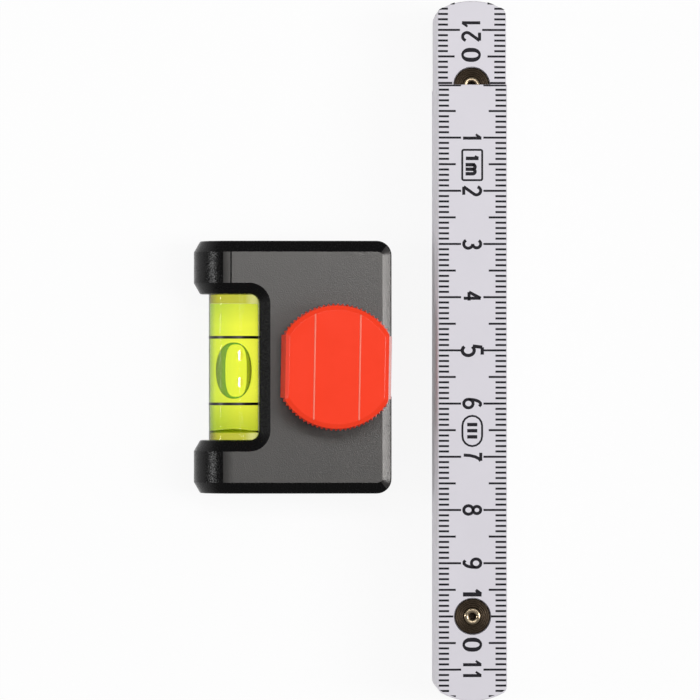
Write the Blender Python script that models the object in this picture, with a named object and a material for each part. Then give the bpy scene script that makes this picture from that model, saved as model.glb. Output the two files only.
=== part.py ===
"""A ten-section folding rule with the clip-on spirit level that turns it into a levelling rod.

Metres, +Z up. The folded rule lies along Y, and the level lies beside it on the -X side.
Both rest on z = 0, and the origin is the middle of the ground they cover.
"""

import math

import bmesh
import bpy

MM = 0.001

# Rule sections
SECTION_COUNT = 10
RIVET_PITCH = 100 * MM
END_OVERHANG = 15.6 * MM
SECTION_WIDTH = 13 * MM
SECTION_THICKNESS = 2.1 * MM
SECTION_GAP = 0.3 * MM
SECTION_EDGE = 0.2 * MM
END_ARC_RADIUS = 12 * MM
END_ARC_STEPS = 6
END_CORNER = 0.9 * MM
BOSS_RADIUS = 5 * MM

# Folding joints
DISC_RADIUS = 3.5 * MM
DISC_SHEET = 0.3 * MM
DISC_DISH = 0.45 * MM
RIVET_RADIUS = 1.1 * MM
RIVET_BORE = 0.6 * MM
RIVET_HEAD_RADIUS = 1.65 * MM
RIVET_HEAD = 0.28 * MM
RIVET_STEPS = 12
DISC_STEPS = 20

# Level body
LEVEL_WIDTH = 37.5 * MM
LEVEL_LENGTH = 48 * MM
LEVEL_THICKNESS = 15 * MM
LEVEL_CORNER = 2.2 * MM
CHAMFER_LENGTH = 2.1 * MM
CHAMFER_DEPTH = 1.2 * MM
BARREL_STEPS = 14
CORNER_STEPS = 4
WINDOW_LENGTH = 27.8 * MM
WINDOW_DEPTH = 12.5 * MM
WINDOW_CORNER = 1.9 * MM
SLOT_HEIGHT = 5.2 * MM
SLOT_DEPTH = 18 * MM
BACK_JAW = 4.4 * MM
NOTCH_WIDTH = 9 * MM
NOTCH_DEPTH = 3 * MM
NOTCH_CORNER = 1.7 * MM

# Vial
VIAL_RADIUS = 4.75 * MM
VIAL_LENGTH = 41 * MM
CAVITY_RADIUS = 3.95 * MM
CAVITY_END_RADIUS = 3.75 * MM
CAVITY_LENGTH = 24.2 * MM
RING_SPACING = 12.7 * MM
RING_WIDTH = 0.5 * MM
RING_DEPTH = 0.15 * MM
READING_SHIFT = -0.65 * MM
BUBBLE_EGG_WIDTH = 8.3 * MM
BUBBLE_EGG_LENGTH = 11 * MM
BUBBLE_EGG_DEPTH = 2.6 * MM
VIAL_STEPS = 20
BARREL_SHAPE_STEPS = 6
EGG_STEPS = 20

# Clamp
KNOB_RADIUS = 12 * MM
KNOB_FLATS = 20.9 * MM
KNOB_TOP_FLATS = 19.4 * MM
KNOB_HEIGHT = 7 * MM
KNOB_BEVEL = 0.9 * MM
KNOB_BEVEL_HEIGHT = 0.6 * MM
KNOB_TEETH = 28
KNOB_TOOTH_DEPTH = 0.3 * MM
KNOB_SETBACK = 10.6 * MM
KNOB_GAP = 2.9 * MM
SCREW_RADIUS = 3 * MM
SCREW_PIN_RADIUS = 1.9 * MM
SCREW_PIN = 1.1 * MM
SCREW_HEAD_FLATS = 10 * MM
SCREW_HEAD = 4 * MM
SCREW_STEPS = 20
INSERT_RADIUS = 4.5 * MM
INSERT_LIP = 0.8 * MM
PAD_RADIUS = 4.8 * MM
PAD_THICKNESS = 1.6 * MM
PAD_OUT = 0.9 * MM
PAD_EDGE = 0.3 * MM

# How the set lies
LEVEL_TO_RULE = 8.35 * MM
LEVEL_ALONG = -3.15 * MM

# Clearances
RUNNING_GAP = 0.06 * MM
SEAT_GAP = 0.05 * MM
FLUSH_GAP = 0.02 * MM
FIT_GAP = 0.1 * MM
CUT_OVER = 0.5 * MM
WELD = 0.001 * MM

SMOOTH_ANGLE = math.radians(32)
FLAT_ANGLE = math.radians(0.5)

SECTION_PITCH = SECTION_THICKNESS + SECTION_GAP
JOINT_HEIGHT = SECTION_THICKNESS + SECTION_PITCH
RECESS_DEPTH = FLUSH_GAP + DISC_DISH + DISC_SHEET + SEAT_GAP
RIVET_HOLE = RIVET_RADIUS + RUNNING_GAP
SET_WIDTH = LEVEL_WIDTH + LEVEL_TO_RULE + SECTION_WIDTH
RULE_X = (SET_WIDTH - SECTION_WIDTH) / 2
LEVEL_X = -SET_WIDTH / 2
BARREL_RADIUS = LEVEL_THICKNESS / 2
VIAL_AT = (LEVEL_X + BARREL_RADIUS, LEVEL_ALONG, BARREL_RADIUS)
SLOT_TOP = BACK_JAW + SLOT_HEIGHT
POCKET_DEPTH = PAD_THICKNESS + 3 * FIT_GAP
CLAMP_X = LEVEL_X + LEVEL_WIDTH - KNOB_SETBACK
PAD_BOTTOM = SLOT_TOP - PAD_OUT
PAD_TOP = PAD_BOTTOM + PAD_THICKNESS
KNOB_BOTTOM = LEVEL_THICKNESS + KNOB_GAP
BORE_BLIND_END = VIAL_LENGTH / 2 + 3 * FIT_GAP


def clear_scene():
    """Removes whatever the scene holds."""
    for thing in list(bpy.data.objects):
        bpy.data.objects.remove(thing)


def material(name, colour, roughness, metallic=0.0, alpha=1.0):
    """A plain Principled material."""
    made = bpy.data.materials.new(name)
    made.use_nodes = True
    shader = made.node_tree.nodes["Principled BSDF"]
    shader.inputs["Base Color"].default_value = (*colour, 1.0)
    shader.inputs["Roughness"].default_value = roughness
    shader.inputs["Metallic"].default_value = metallic
    shader.inputs["Alpha"].default_value = alpha
    return made


def piece(name, shape, look, at):
    """Turns a bmesh into a named object with its origin at the given place."""
    bmesh.ops.recalc_face_normals(shape, faces=shape.faces[:])
    mesh = bpy.data.meshes.new(name)
    shape.to_mesh(mesh)
    shape.free()
    if look:
        mesh.materials.append(look)
    mesh.shade_smooth()
    mesh.set_sharp_from_angle(angle=SMOOTH_ANGLE)
    made = bpy.data.objects.new(name, mesh)
    made.location = at
    bpy.context.scene.collection.objects.link(made)
    return made


def tool(name, shape, at):
    """A helper that shapes other pieces and isn't a piece itself."""
    made = piece(name, shape, None, at)
    made.hide_render = True
    made.display_type = "WIRE"
    return made


def combine(target, helper, operation="DIFFERENCE"):
    """Cuts the helper from the target, joins it on, or keeps what both share."""
    modifier = target.modifiers.new(helper.name, "BOOLEAN")
    modifier.operation = operation
    modifier.solver = "EXACT"
    modifier.object = helper


def attach(child, parent):
    """Parents a piece and leaves it where it is."""
    child.parent = parent
    child.matrix_parent_inverse = parent.matrix_world.inverted()


def turned(profile, steps):
    """Spins (radius, height) points round Z. A profile off the axis is closed into a ring."""
    shape = bmesh.new()
    points = [shape.verts.new((radius, 0, height)) for radius, height in profile]
    edges = [shape.edges.new(pair) for pair in zip(points, points[1:])]
    if profile[0][0] > 0:
        edges.append(shape.edges.new((points[-1], points[0])))
    bmesh.ops.spin(
        shape,
        geom=points + edges,
        cent=(0, 0, 0),
        axis=(0, 0, 1),
        angle=math.tau,
        steps=steps,
        use_merge=True,
    )
    bmesh.ops.remove_doubles(shape, verts=shape.verts[:], dist=WELD)
    return shape


def cylinder(radius, low, high, steps):
    """A solid cylinder on Z between two heights."""
    return turned([(0, low), (radius, low), (radius, high), (0, high)], steps)


def flat(points):
    """A bmesh with one face through the (x, y) points."""
    shape = bmesh.new()
    shape.faces.new([shape.verts.new((x, y, 0)) for x, y in points])
    return shape


def raise_up(shape, height):
    """Extrudes the shape's topmost face straight up and returns the new points."""
    top = max(shape.faces, key=lambda face: face.calc_center_median().z)
    made = bmesh.ops.extrude_face_region(shape, geom=[top, *top.edges])["geom"]
    points = [part for part in made if isinstance(part, bmesh.types.BMVert)]
    bmesh.ops.translate(shape, verts=points, vec=(0, 0, height))
    return points


def round_corners(shape, corners, radius, steps):
    """Rounds corners of a flat outline."""
    bmesh.ops.bevel(
        shape,
        geom=corners,
        affect="VERTICES",
        offset=radius,
        segments=steps,
        profile=0.5,
        material=-1,
    )


def chamfer(shape, edges, size):
    """Cuts a flat chamfer along edges."""
    bmesh.ops.bevel(
        shape,
        geom=edges,
        affect="EDGES",
        offset=size,
        segments=1,
        profile=0.5,
        material=-1,
    )


def level_edges(shape):
    """The edges that lie in the lowest and in the highest plane of a prism."""
    heights = [point.co.z for point in shape.verts]
    ends = (min(heights), max(heights))
    return [
        edge
        for edge in shape.edges
        if any(all(abs(point.co.z - end) < WELD for point in edge.verts) for end in ends)
    ]


# Folding rule


def joint_side(joint):
    """The end of the folded stack, -1 or 1, at which a joint lies. Joint n joins sections n and n + 1."""
    return -1 if joint % 2 else 1


def joint_place(joint, height):
    return (RULE_X, joint_side(joint) * RIVET_PITCH / 2, height)


def section_bottom(number):
    """Section 1 carries the zero mark and lies on top."""
    return (SECTION_COUNT - number) * SECTION_PITCH


def section_joints(number):
    return [joint for joint in (number - 1, number) if 1 <= joint < SECTION_COUNT]


def section_end(side, jointed):
    """Outline of one end: an arc past a joint, or a straight cut at the end of the scale."""
    half_width = SECTION_WIDTH / 2
    if not jointed:
        tip = side * RIVET_PITCH / 2
        return [(side * half_width, tip), (-side * half_width, tip)]
    centre = side * (RIVET_PITCH / 2 + END_OVERHANG - END_ARC_RADIUS)
    half_angle = math.asin(half_width / END_ARC_RADIUS)
    angles = [half_angle * (1 - 2 * step / END_ARC_STEPS) for step in range(END_ARC_STEPS + 1)]
    return [
        (side * END_ARC_RADIUS * math.sin(angle), centre + side * END_ARC_RADIUS * math.cos(angle))
        for angle in angles
    ]


def section_shape(number, origin_y):
    """A plate with chamfered edges, its origin on the joint it swings on."""
    jointed = {joint_side(joint) for joint in section_joints(number)}
    outline = []
    soft = []
    for side in (1, -1):
        end = section_end(side, side in jointed)
        if side in jointed:
            soft += [len(outline), len(outline) + len(end) - 1]
        outline += end
    shape = flat([(x, y - origin_y) for x, y in outline])
    shape.verts.ensure_lookup_table()
    round_corners(shape, [shape.verts[index] for index in soft], END_CORNER, 2)
    raise_up(shape, SECTION_THICKNESS)
    chamfer(shape, level_edges(shape), SECTION_EDGE)
    return shape


def joint_cutter(joint):
    """The rivet hole through both sections, with a recess for a disc at each outer face."""
    top = JOINT_HEIGHT
    wide = DISC_RADIUS + FIT_GAP
    profile = [
        (0, top + CUT_OVER),
        (wide, top + CUT_OVER),
        (wide, top - RECESS_DEPTH),
        (RIVET_HOLE, top - RECESS_DEPTH),
        (RIVET_HOLE, RECESS_DEPTH),
        (wide, RECESS_DEPTH),
        (wide, -CUT_OVER),
        (0, -CUT_OVER),
    ]
    at = joint_place(joint, section_bottom(joint + 1))
    return tool(f"joint_cutter_{joint:02d}", turned(profile, DISC_STEPS), at)


def joint_boss(joint):
    """The low round pad under the upper section, which bears on the section below."""
    low = SEAT_GAP - SECTION_GAP
    at = joint_place(joint, section_bottom(joint))
    shape = cylinder(BOSS_RADIUS, low, SECTION_THICKNESS / 2, DISC_STEPS)
    return tool(f"joint_boss_{joint:02d}", shape, at)


def disc_shape(up):
    """A dished spring disc whose rim is flush with the face at height 0. up is 1 on a top face."""
    rim = -FLUSH_GAP
    hub = rim - DISC_DISH
    profile = [
        (DISC_RADIUS, rim),
        (DISC_RADIUS, rim - DISC_SHEET),
        (RIVET_HOLE, hub - DISC_SHEET),
        (RIVET_HOLE, hub),
    ]
    return turned([(radius, up * height) for radius, height in profile], DISC_STEPS)


def rivet_shape():
    """A tubular rivet with a rolled head at each end."""
    low = FLUSH_GAP
    high = JOINT_HEIGHT - FLUSH_GAP
    profile = [
        (RIVET_BORE, low),
        (RIVET_HEAD_RADIUS, low),
        (RIVET_HEAD_RADIUS, low + RIVET_HEAD),
        (RIVET_RADIUS, low + RIVET_HEAD),
        (RIVET_RADIUS, high - RIVET_HEAD),
        (RIVET_HEAD_RADIUS, high - RIVET_HEAD),
        (RIVET_HEAD_RADIUS, high),
        (RIVET_BORE, high),
    ]
    return turned(profile, RIVET_STEPS)


def build_rule():
    """Ten sections hinged in a zigzag. Each piece is parented to what carries it."""
    white = material("white_plastic", (0.68, 0.66, 0.70), 0.45)
    bronze = material("dark_bronze", (0.03, 0.023, 0.013), 0.4, 1.0)
    nickel = material("rolled_rivet", (0.76, 0.67, 0.5), 0.3, 1.0)
    sections = {}
    for number in range(1, SECTION_COUNT + 1):
        swing = min(number, SECTION_COUNT - 1)
        at = joint_place(swing, section_bottom(number))
        name = f"rule_section_{number:02d}"
        sections[number] = piece(name, section_shape(number, at[1]), white, at)
    pairs = [(sections[number], sections[number + 1]) for number in range(1, SECTION_COUNT)]
    for joint in range(1, SECTION_COUNT):
        upper = sections[joint]
        lower = sections[joint + 1]
        boss = joint_boss(joint)
        cutter = joint_cutter(joint)
        combine(upper, boss, "UNION")
        combine(upper, cutter)
        combine(lower, cutter)
        top = joint_place(joint, section_bottom(joint) + SECTION_THICKNESS)
        bottom = joint_place(joint, section_bottom(joint + 1))
        upper_disc = piece(f"joint_disc_upper_{joint:02d}", disc_shape(1), bronze, top)
        lower_disc = piece(f"joint_disc_lower_{joint:02d}", disc_shape(-1), bronze, bottom)
        rivet = piece(f"joint_rivet_{joint:02d}", rivet_shape(), nickel, bottom)
        pairs += [(boss, upper), (upper_disc, upper), (cutter, lower), (lower_disc, lower), (rivet, lower)]
    return pairs


# Level body


def level_outline():
    """The body seen from the front, without the half-round end: a C round the window."""
    half = LEVEL_LENGTH / 2
    window = WINDOW_LENGTH / 2
    shape = flat(
        [
            (BARREL_RADIUS, -half),
            (LEVEL_WIDTH, -half),
            (LEVEL_WIDTH, half),
            (BARREL_RADIUS, half),
            (BARREL_RADIUS, window),
            (WINDOW_DEPTH, window),
            (WINDOW_DEPTH, -window),
            (BARREL_RADIUS, -window),
        ]
    )
    shape.verts.ensure_lookup_table()
    outer = [shape.verts[1], shape.verts[2]]
    inner = [shape.verts[5], shape.verts[6]]
    round_corners(shape, outer, LEVEL_CORNER, CORNER_STEPS)
    round_corners(shape, inner, WINDOW_CORNER, CORNER_STEPS)
    return shape


def on_barrel_side(part):
    return all(abs(point.co.x - BARREL_RADIUS) < WELD for point in part.verts)


def level_shape():
    """The block with its chamfers, and a half-round end spun from the ends of the C."""
    shape = level_outline()
    stretch = CHAMFER_LENGTH / CHAMFER_DEPTH
    raise_up(shape, LEVEL_THICKNESS * stretch)
    chamfer(shape, [edge for edge in level_edges(shape) if not on_barrel_side(edge)], CHAMFER_LENGTH)
    bmesh.ops.scale(shape, verts=shape.verts[:], vec=(1, 1, 1 / stretch))
    middle = (BARREL_RADIUS, 0, LEVEL_THICKNESS / 2)
    everything = shape.verts[:] + shape.edges[:] + shape.faces[:]
    bmesh.ops.bisect_plane(shape, geom=everything, dist=WELD, plane_co=middle, plane_no=(0, 0, 1))
    open_faces = [face for face in shape.faces if on_barrel_side(face)]
    bmesh.ops.delete(shape, geom=open_faces, context="FACES")
    front_half = [
        edge
        for edge in shape.edges
        if edge.is_boundary and all(point.co.z > middle[2] - WELD for point in edge.verts)
    ]
    bmesh.ops.spin(
        shape,
        geom=front_half,
        cent=middle,
        axis=(0, -1, 0),
        angle=math.pi,
        steps=BARREL_STEPS,
    )
    bmesh.ops.remove_doubles(shape, verts=shape.verts[:], dist=WELD)
    bmesh.ops.dissolve_limit(
        shape, angle_limit=FLAT_ANGLE, verts=shape.verts[:], edges=shape.edges[:]
    )
    return shape


def slot_cutter():
    """The clamping slot, open on the +X side and at both ends."""
    deep = SLOT_DEPTH + CUT_OVER
    half = LEVEL_LENGTH / 2 + CUT_OVER
    shape = flat([(-deep, -half), (0, -half), (0, half), (-deep, half)])
    raise_up(shape, SLOT_HEIGHT)
    return tool("slot_cutter", shape, (LEVEL_X + LEVEL_WIDTH + CUT_OVER, LEVEL_ALONG, BACK_JAW))


def notch_cutter():
    """The thumb notch in the front jaw, with its outer corners rounded off."""
    half = NOTCH_WIDTH / 2
    wide = half + 2 * NOTCH_CORNER
    out = NOTCH_CORNER + CUT_OVER
    shape = flat(
        [
            (-NOTCH_DEPTH, half),
            (-NOTCH_DEPTH, -half),
            (FLUSH_GAP, -half),
            (FLUSH_GAP, -wide),
            (out, -wide),
            (out, wide),
            (FLUSH_GAP, wide),
            (FLUSH_GAP, half),
        ]
    )
    shape.verts.ensure_lookup_table()
    rounded = [shape.verts[index] for index in (0, 1, 2, 7)]
    round_corners(shape, rounded, NOTCH_CORNER, CORNER_STEPS)
    low = SLOT_TOP - SLOT_HEIGHT / 2
    raise_up(shape, LEVEL_THICKNESS + CUT_OVER - low)
    return tool("notch_cutter", shape, (LEVEL_X + LEVEL_WIDTH, LEVEL_ALONG, low))


def vial_bore_cutter():
    """The bore for the vial: through the upper lobe, blind in the lower one."""
    high = LEVEL_LENGTH / 2 + CUT_OVER
    made = tool("vial_bore_cutter", cylinder(VIAL_RADIUS + FIT_GAP, -BORE_BLIND_END, high, VIAL_STEPS), VIAL_AT)
    made.rotation_euler.x = -math.pi / 2
    return made


def clamp_hole_cutter():
    """The stepped hole in the front jaw: pocket for the pad, seat for the insert, lip over it."""
    lip = LEVEL_THICKNESS - INSERT_LIP
    pocket = SLOT_TOP + POCKET_DEPTH
    profile = [
        (0, LEVEL_THICKNESS + CUT_OVER),
        (SCREW_RADIUS + 3 * FIT_GAP, LEVEL_THICKNESS + CUT_OVER),
        (SCREW_RADIUS + 3 * FIT_GAP, lip),
        (INSERT_RADIUS + SEAT_GAP, lip),
        (INSERT_RADIUS + SEAT_GAP, pocket),
        (PAD_RADIUS + 2 * FIT_GAP, pocket),
        (PAD_RADIUS + 2 * FIT_GAP, SLOT_TOP - CUT_OVER),
        (0, SLOT_TOP - CUT_OVER),
    ]
    return tool("clamp_hole_cutter", turned(profile, SCREW_STEPS), (CLAMP_X, LEVEL_ALONG, 0))


def build_level_body():
    black = material("black_plastic", (0.07, 0.068, 0.069), 0.6)
    body = piece("level_body", level_shape(), black, (LEVEL_X, LEVEL_ALONG, 0))
    cutters = [slot_cutter(), notch_cutter(), vial_bore_cutter(), clamp_hole_cutter()]
    for cutter in cutters:
        combine(body, cutter)
    return body, cutters


# Vial


def along_y(name, shape, look, at=VIAL_AT):
    """A piece turned on Z and laid along Y, on the vial's axis."""
    made = piece(name, shape, look, at)
    made.rotation_euler.x = -math.pi / 2
    return made


def ring_places():
    return [READING_SHIFT + side * RING_SPACING / 2 for side in (-1, 1)]


def cavity_profile(inset):
    """The barrel-shaped inside of the vial from its blind end to its mouth, drawn in by the inset."""
    half = CAVITY_LENGTH / 2
    bulge = CAVITY_RADIUS - CAVITY_END_RADIUS
    points = []
    for step in range(BARREL_SHAPE_STEPS + 1):
        along = 2 * step / BARREL_SHAPE_STEPS - 1
        points.append((CAVITY_RADIUS - bulge * along**2 - inset, along * (half - inset)))
    return points


def vial_tube_shape():
    """Clear tube, blind at one end, with a barrel-shaped cavity and grooves for the rings."""
    half = VIAL_LENGTH / 2
    outside = [(0, -half), (VIAL_RADIUS, -half)]
    for place in ring_places():
        side = RING_WIDTH / 2 + SEAT_GAP
        floor = VIAL_RADIUS - RING_DEPTH
        outside += [
            (VIAL_RADIUS, place - side),
            (floor, place - side),
            (floor, place + side),
            (VIAL_RADIUS, place + side),
        ]
    outside += [(VIAL_RADIUS, half), (CAVITY_END_RADIUS, half)]
    inside = cavity_profile(0)[::-1] + [(0, -CAVITY_LENGTH / 2)]
    return turned(outside + inside, VIAL_STEPS)


def bubble_form(name, grow):
    """An egg centred on the top of the cavity. The bubble is the part of it inside the cavity."""
    shape = bmesh.new()
    bmesh.ops.create_uvsphere(shape, u_segments=EGG_STEPS, v_segments=EGG_STEPS // 2, radius=1)
    size = (BUBBLE_EGG_WIDTH / 2 + grow, BUBBLE_EGG_LENGTH / 2 + grow, BUBBLE_EGG_DEPTH + grow)
    bmesh.ops.scale(shape, verts=shape.verts[:], vec=size)
    x, y, z = VIAL_AT
    return tool(name, shape, (x, y + READING_SHIFT, z + CAVITY_RADIUS))


def filling_shape():
    """The space that liquid and bubble share."""
    points = cavity_profile(FIT_GAP)
    return turned([(0, points[0][1]), *points, (0, points[-1][1])], VIAL_STEPS)


def build_vial():
    """Tube, plug, liquid, bubble, two reading rings and the cap that keeps them in."""
    acrylic = material("clear_acrylic", (0.9, 0.95, 0.6), 0.05, alpha=0.4)
    liquid_look = material("vial_liquid", (0.75, 0.9, 0.04), 0.1, alpha=0.7)
    air = material("air_bubble", (0.9, 1.0, 0.6), 0.05, alpha=0.4)
    ink = material("ring_black", (0.02, 0.02, 0.02), 0.5)
    cap_black = material("cap_black", (0.05, 0.05, 0.05), 0.55)
    half = VIAL_LENGTH / 2
    tube = along_y("vial_tube", vial_tube_shape(), acrylic)
    plug_low = CAVITY_LENGTH / 2 + FIT_GAP
    plug_shape = cylinder(CAVITY_END_RADIUS - FIT_GAP, plug_low, half - FIT_GAP, VIAL_STEPS)
    plug = along_y("vial_plug", plug_shape, acrylic)
    hollow = bubble_form("bubble_hollow", FIT_GAP)
    egg = bubble_form("bubble_egg", 0)
    liquid = along_y("vial_liquid", filling_shape(), liquid_look)
    combine(liquid, hollow)
    bubble = along_y("air_bubble", filling_shape(), air)
    combine(bubble, egg, "INTERSECT")
    rings = []
    for name, place in zip(("vial_ring_lower", "vial_ring_upper"), ring_places()):
        low = place - RING_WIDTH / 2
        high = place + RING_WIDTH / 2
        inner = VIAL_RADIUS - RING_DEPTH + FLUSH_GAP
        profile = [(VIAL_RADIUS, low), (VIAL_RADIUS, high), (inner, high), (inner, low)]
        rings.append(along_y(name, turned(profile, VIAL_STEPS), ink))
    cap_shape = cylinder(VIAL_RADIUS, half + 3 * FIT_GAP, LEVEL_LENGTH / 2 - FIT_GAP, VIAL_STEPS)
    cap = along_y("vial_end_cap", cap_shape, cap_black)
    return [tube, plug, liquid, bubble, *rings, cap, hollow, egg]


# Clamp


def knob_outline():
    """Two knurled arcs joined by two flats."""
    flat_angle = math.acos(KNOB_FLATS / 2 / KNOB_RADIUS)
    steps = 2 * KNOB_TEETH
    points = []
    for turn in (0, math.pi):
        for step in range(steps + 1):
            angle = turn + flat_angle + (math.pi - 2 * flat_angle) * step / steps
            radius = KNOB_RADIUS - KNOB_TOOTH_DEPTH * (step % 2)
            points.append((radius * math.cos(angle), radius * math.sin(angle)))
    return points


def knob_shape():
    """The knob stands on its origin. Its flats lean in, and a bevel runs round its top."""
    shape = flat(knob_outline())
    rim = raise_up(shape, KNOB_HEIGHT - KNOB_BEVEL_HEIGHT)
    for point in rim:
        point.co.x = max(-KNOB_TOP_FLATS / 2, min(KNOB_TOP_FLATS / 2, point.co.x))
    top = raise_up(shape, KNOB_BEVEL_HEIGHT)
    shrink = 1 - KNOB_BEVEL / KNOB_RADIUS
    bmesh.ops.scale(shape, verts=top, vec=(shrink, shrink, 1))
    return shape


def hexagon(flats, low, high):
    """A hexagonal prism between two heights."""
    radius = flats / math.sqrt(3)
    corners = [math.pi * step / 3 for step in range(6)]
    shape = flat([(radius * math.cos(corner), radius * math.sin(corner)) for corner in corners])
    raise_up(shape, high - low)
    bmesh.ops.translate(shape, verts=shape.verts[:], vec=(0, 0, low))
    return shape


def build_clamp():
    """Knob, screw, insert and pad on one upright axis. Heights are above the table."""
    red = material("red_plastic", (0.9, 0.06, 0.02), 0.3)
    steel = material("zinc_steel", (0.6, 0.6, 0.6), 0.3, 1.0)
    brass = material("insert_brass", (0.7, 0.5, 0.2), 0.35, 1.0)
    pad_black = material("pad_black", (0.04, 0.04, 0.04), 0.7)
    axis = (CLAMP_X, LEVEL_ALONG, 0)

    knob = piece("clamp_knob", knob_shape(), red, (CLAMP_X, LEVEL_ALONG, KNOB_BOTTOM))
    pocket_top = KNOB_BOTTOM + SCREW_HEAD + 2 * SEAT_GAP
    pocket_shape = hexagon(SCREW_HEAD_FLATS + 2 * FIT_GAP, KNOB_BOTTOM - CUT_OVER, pocket_top)
    pocket = tool("head_pocket_cutter", pocket_shape, axis)
    combine(knob, pocket)

    head_low = KNOB_BOTTOM + SEAT_GAP
    pin_low = PAD_TOP + SEAT_GAP - SCREW_PIN
    profile = [
        (0, pin_low),
        (SCREW_PIN_RADIUS, pin_low),
        (SCREW_PIN_RADIUS, PAD_TOP + SEAT_GAP),
        (SCREW_RADIUS, PAD_TOP + SEAT_GAP),
        (SCREW_RADIUS, head_low + SCREW_HEAD / 2),
        (0, head_low + SCREW_HEAD / 2),
    ]
    screw = piece("clamp_screw", turned(profile, SCREW_STEPS), steel, axis)
    head = tool("screw_head", hexagon(SCREW_HEAD_FLATS, head_low, head_low + SCREW_HEAD), axis)
    combine(screw, head, "UNION")

    low = SLOT_TOP + POCKET_DEPTH + SEAT_GAP
    high = LEVEL_THICKNESS - INSERT_LIP - SEAT_GAP
    bore = SCREW_RADIUS + RUNNING_GAP
    ring = [(bore, low), (INSERT_RADIUS, low), (INSERT_RADIUS, high), (bore, high)]
    insert = piece("thread_insert", turned(ring, SCREW_STEPS), brass, axis)

    socket = SCREW_PIN_RADIUS + RUNNING_GAP
    socket_floor = pin_low - SEAT_GAP
    profile = [
        (0, PAD_BOTTOM),
        (PAD_RADIUS - PAD_EDGE, PAD_BOTTOM),
        (PAD_RADIUS, PAD_BOTTOM + PAD_EDGE),
        (PAD_RADIUS, PAD_TOP),
        (socket, PAD_TOP),
        (socket, socket_floor),
        (0, socket_floor),
    ]
    pad = piece("pressure_pad", turned(profile, SCREW_STEPS), pad_black, axis)
    return [(pocket, knob), (screw, knob), (head, screw), (knob, pad)], pad, insert


def main():
    clear_scene()
    pairs = build_rule()
    body, cutters = build_level_body()
    clamp_pairs, pad, insert = build_clamp()
    pairs += clamp_pairs
    pairs += [(carried, body) for carried in [*cutters, *build_vial(), pad, insert]]
    bpy.context.view_layer.update()
    for child, parent in pairs:
        attach(child, parent)


main()
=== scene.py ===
# %% [markdown]
# # A folding rule and the level that clips onto it
# The photograph looks straight down on a ten-section plastic folding rule, folded shut, with a small
# clip-on spirit level beside it. The solids of both are already at their real size, so this script
# only dresses them: finer meshes, the printed scale, and a finish for every surface.

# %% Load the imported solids
import math

import bmesh
import bpy
from mathutils import Matrix, Vector


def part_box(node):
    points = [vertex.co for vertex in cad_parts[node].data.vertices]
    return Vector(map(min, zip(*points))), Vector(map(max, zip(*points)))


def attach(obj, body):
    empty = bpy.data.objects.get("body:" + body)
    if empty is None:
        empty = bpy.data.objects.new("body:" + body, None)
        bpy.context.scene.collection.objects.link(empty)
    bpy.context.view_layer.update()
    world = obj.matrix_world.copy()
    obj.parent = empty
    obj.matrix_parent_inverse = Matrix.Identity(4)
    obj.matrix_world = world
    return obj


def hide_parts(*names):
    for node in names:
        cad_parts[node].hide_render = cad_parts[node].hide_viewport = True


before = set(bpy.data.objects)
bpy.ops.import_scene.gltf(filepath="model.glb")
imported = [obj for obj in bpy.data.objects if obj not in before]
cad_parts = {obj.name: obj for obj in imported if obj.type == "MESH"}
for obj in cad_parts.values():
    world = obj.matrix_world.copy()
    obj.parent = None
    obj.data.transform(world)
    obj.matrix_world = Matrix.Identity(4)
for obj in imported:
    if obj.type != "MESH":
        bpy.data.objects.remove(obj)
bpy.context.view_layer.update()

# %% [markdown]
# ## From a bmesh to a piece
# Every piece below is modelled as a bmesh, whose place in the world is already in its points. One
# helper closes it, shades it, and hangs it on the body it moves with. Shading by weighted normals
# keeps the large faces flat and lets the small rounded edges carry the light.

# %% Helpers that finish and carve shapes
MM = 0.001
WELD = 0.001 * MM
SMOOTH_ANGLE = math.radians(40)


def loose(name, shape):
    """An object at the origin that holds the shape in its mesh."""
    mesh = bpy.data.meshes.new(name)
    shape.to_mesh(mesh)
    shape.free()
    made = bpy.data.objects.new(name, mesh)
    bpy.context.scene.collection.objects.link(made)
    return made


def finished(name, shape, look, body, slot, *nodes, crisp=SMOOTH_ANGLE):
    """Gives a shape its finish, lets it ride a body, and puts it in the place of CAD nodes."""
    bmesh.ops.remove_doubles(shape, verts=shape.verts[:], dist=WELD)
    bmesh.ops.recalc_face_normals(shape, faces=shape.faces[:])
    piece = loose(name, shape)
    piece.data.materials.append(look)
    piece.data.shade_smooth()
    piece.data.set_sharp_from_angle(angle=crisp)
    shading = piece.modifiers.new("even_shading", "WEIGHTED_NORMAL")
    shading.keep_sharp = True
    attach(piece, body)
    if nodes:
        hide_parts(*nodes)
    return piece


def carve(shape, cutters=(), joined=()):
    """Joins shapes onto one, cuts others out of it, and returns the result."""
    blank = loose("blank", shape)
    helpers = [blank]
    for operation, tools in (("UNION", joined), ("DIFFERENCE", cutters)):
        for tool in tools:
            bmesh.ops.recalc_face_normals(tool, faces=tool.faces[:])
            helper = loose("tool", tool)
            helpers.append(helper)
            modifier = blank.modifiers.new(operation, "BOOLEAN")
            modifier.operation = operation
            modifier.solver = "EXACT"
            modifier.object = helper
    result = bmesh.new()
    result.from_object(blank, bpy.context.evaluated_depsgraph_get())
    for helper in helpers:
        bpy.data.objects.remove(helper)
    return result


# %% Helpers that shape a bmesh
def raise_up(shape, height):
    """Extrudes the topmost face straight up and returns the new points."""
    top = max(shape.faces, key=lambda face: face.calc_center_median().z)
    made = bmesh.ops.extrude_face_region(shape, geom=[top, *top.edges])["geom"]
    points = [part for part in made if isinstance(part, bmesh.types.BMVert)]
    bmesh.ops.translate(shape, verts=points, vec=(0, 0, height))
    return points


def flat(points):
    """A bmesh with one face through a few (x, y) points."""
    shape = bmesh.new()
    shape.faces.new([shape.verts.new((x, y, 0)) for x, y in points])
    shape.verts.ensure_lookup_table()
    return shape


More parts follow.
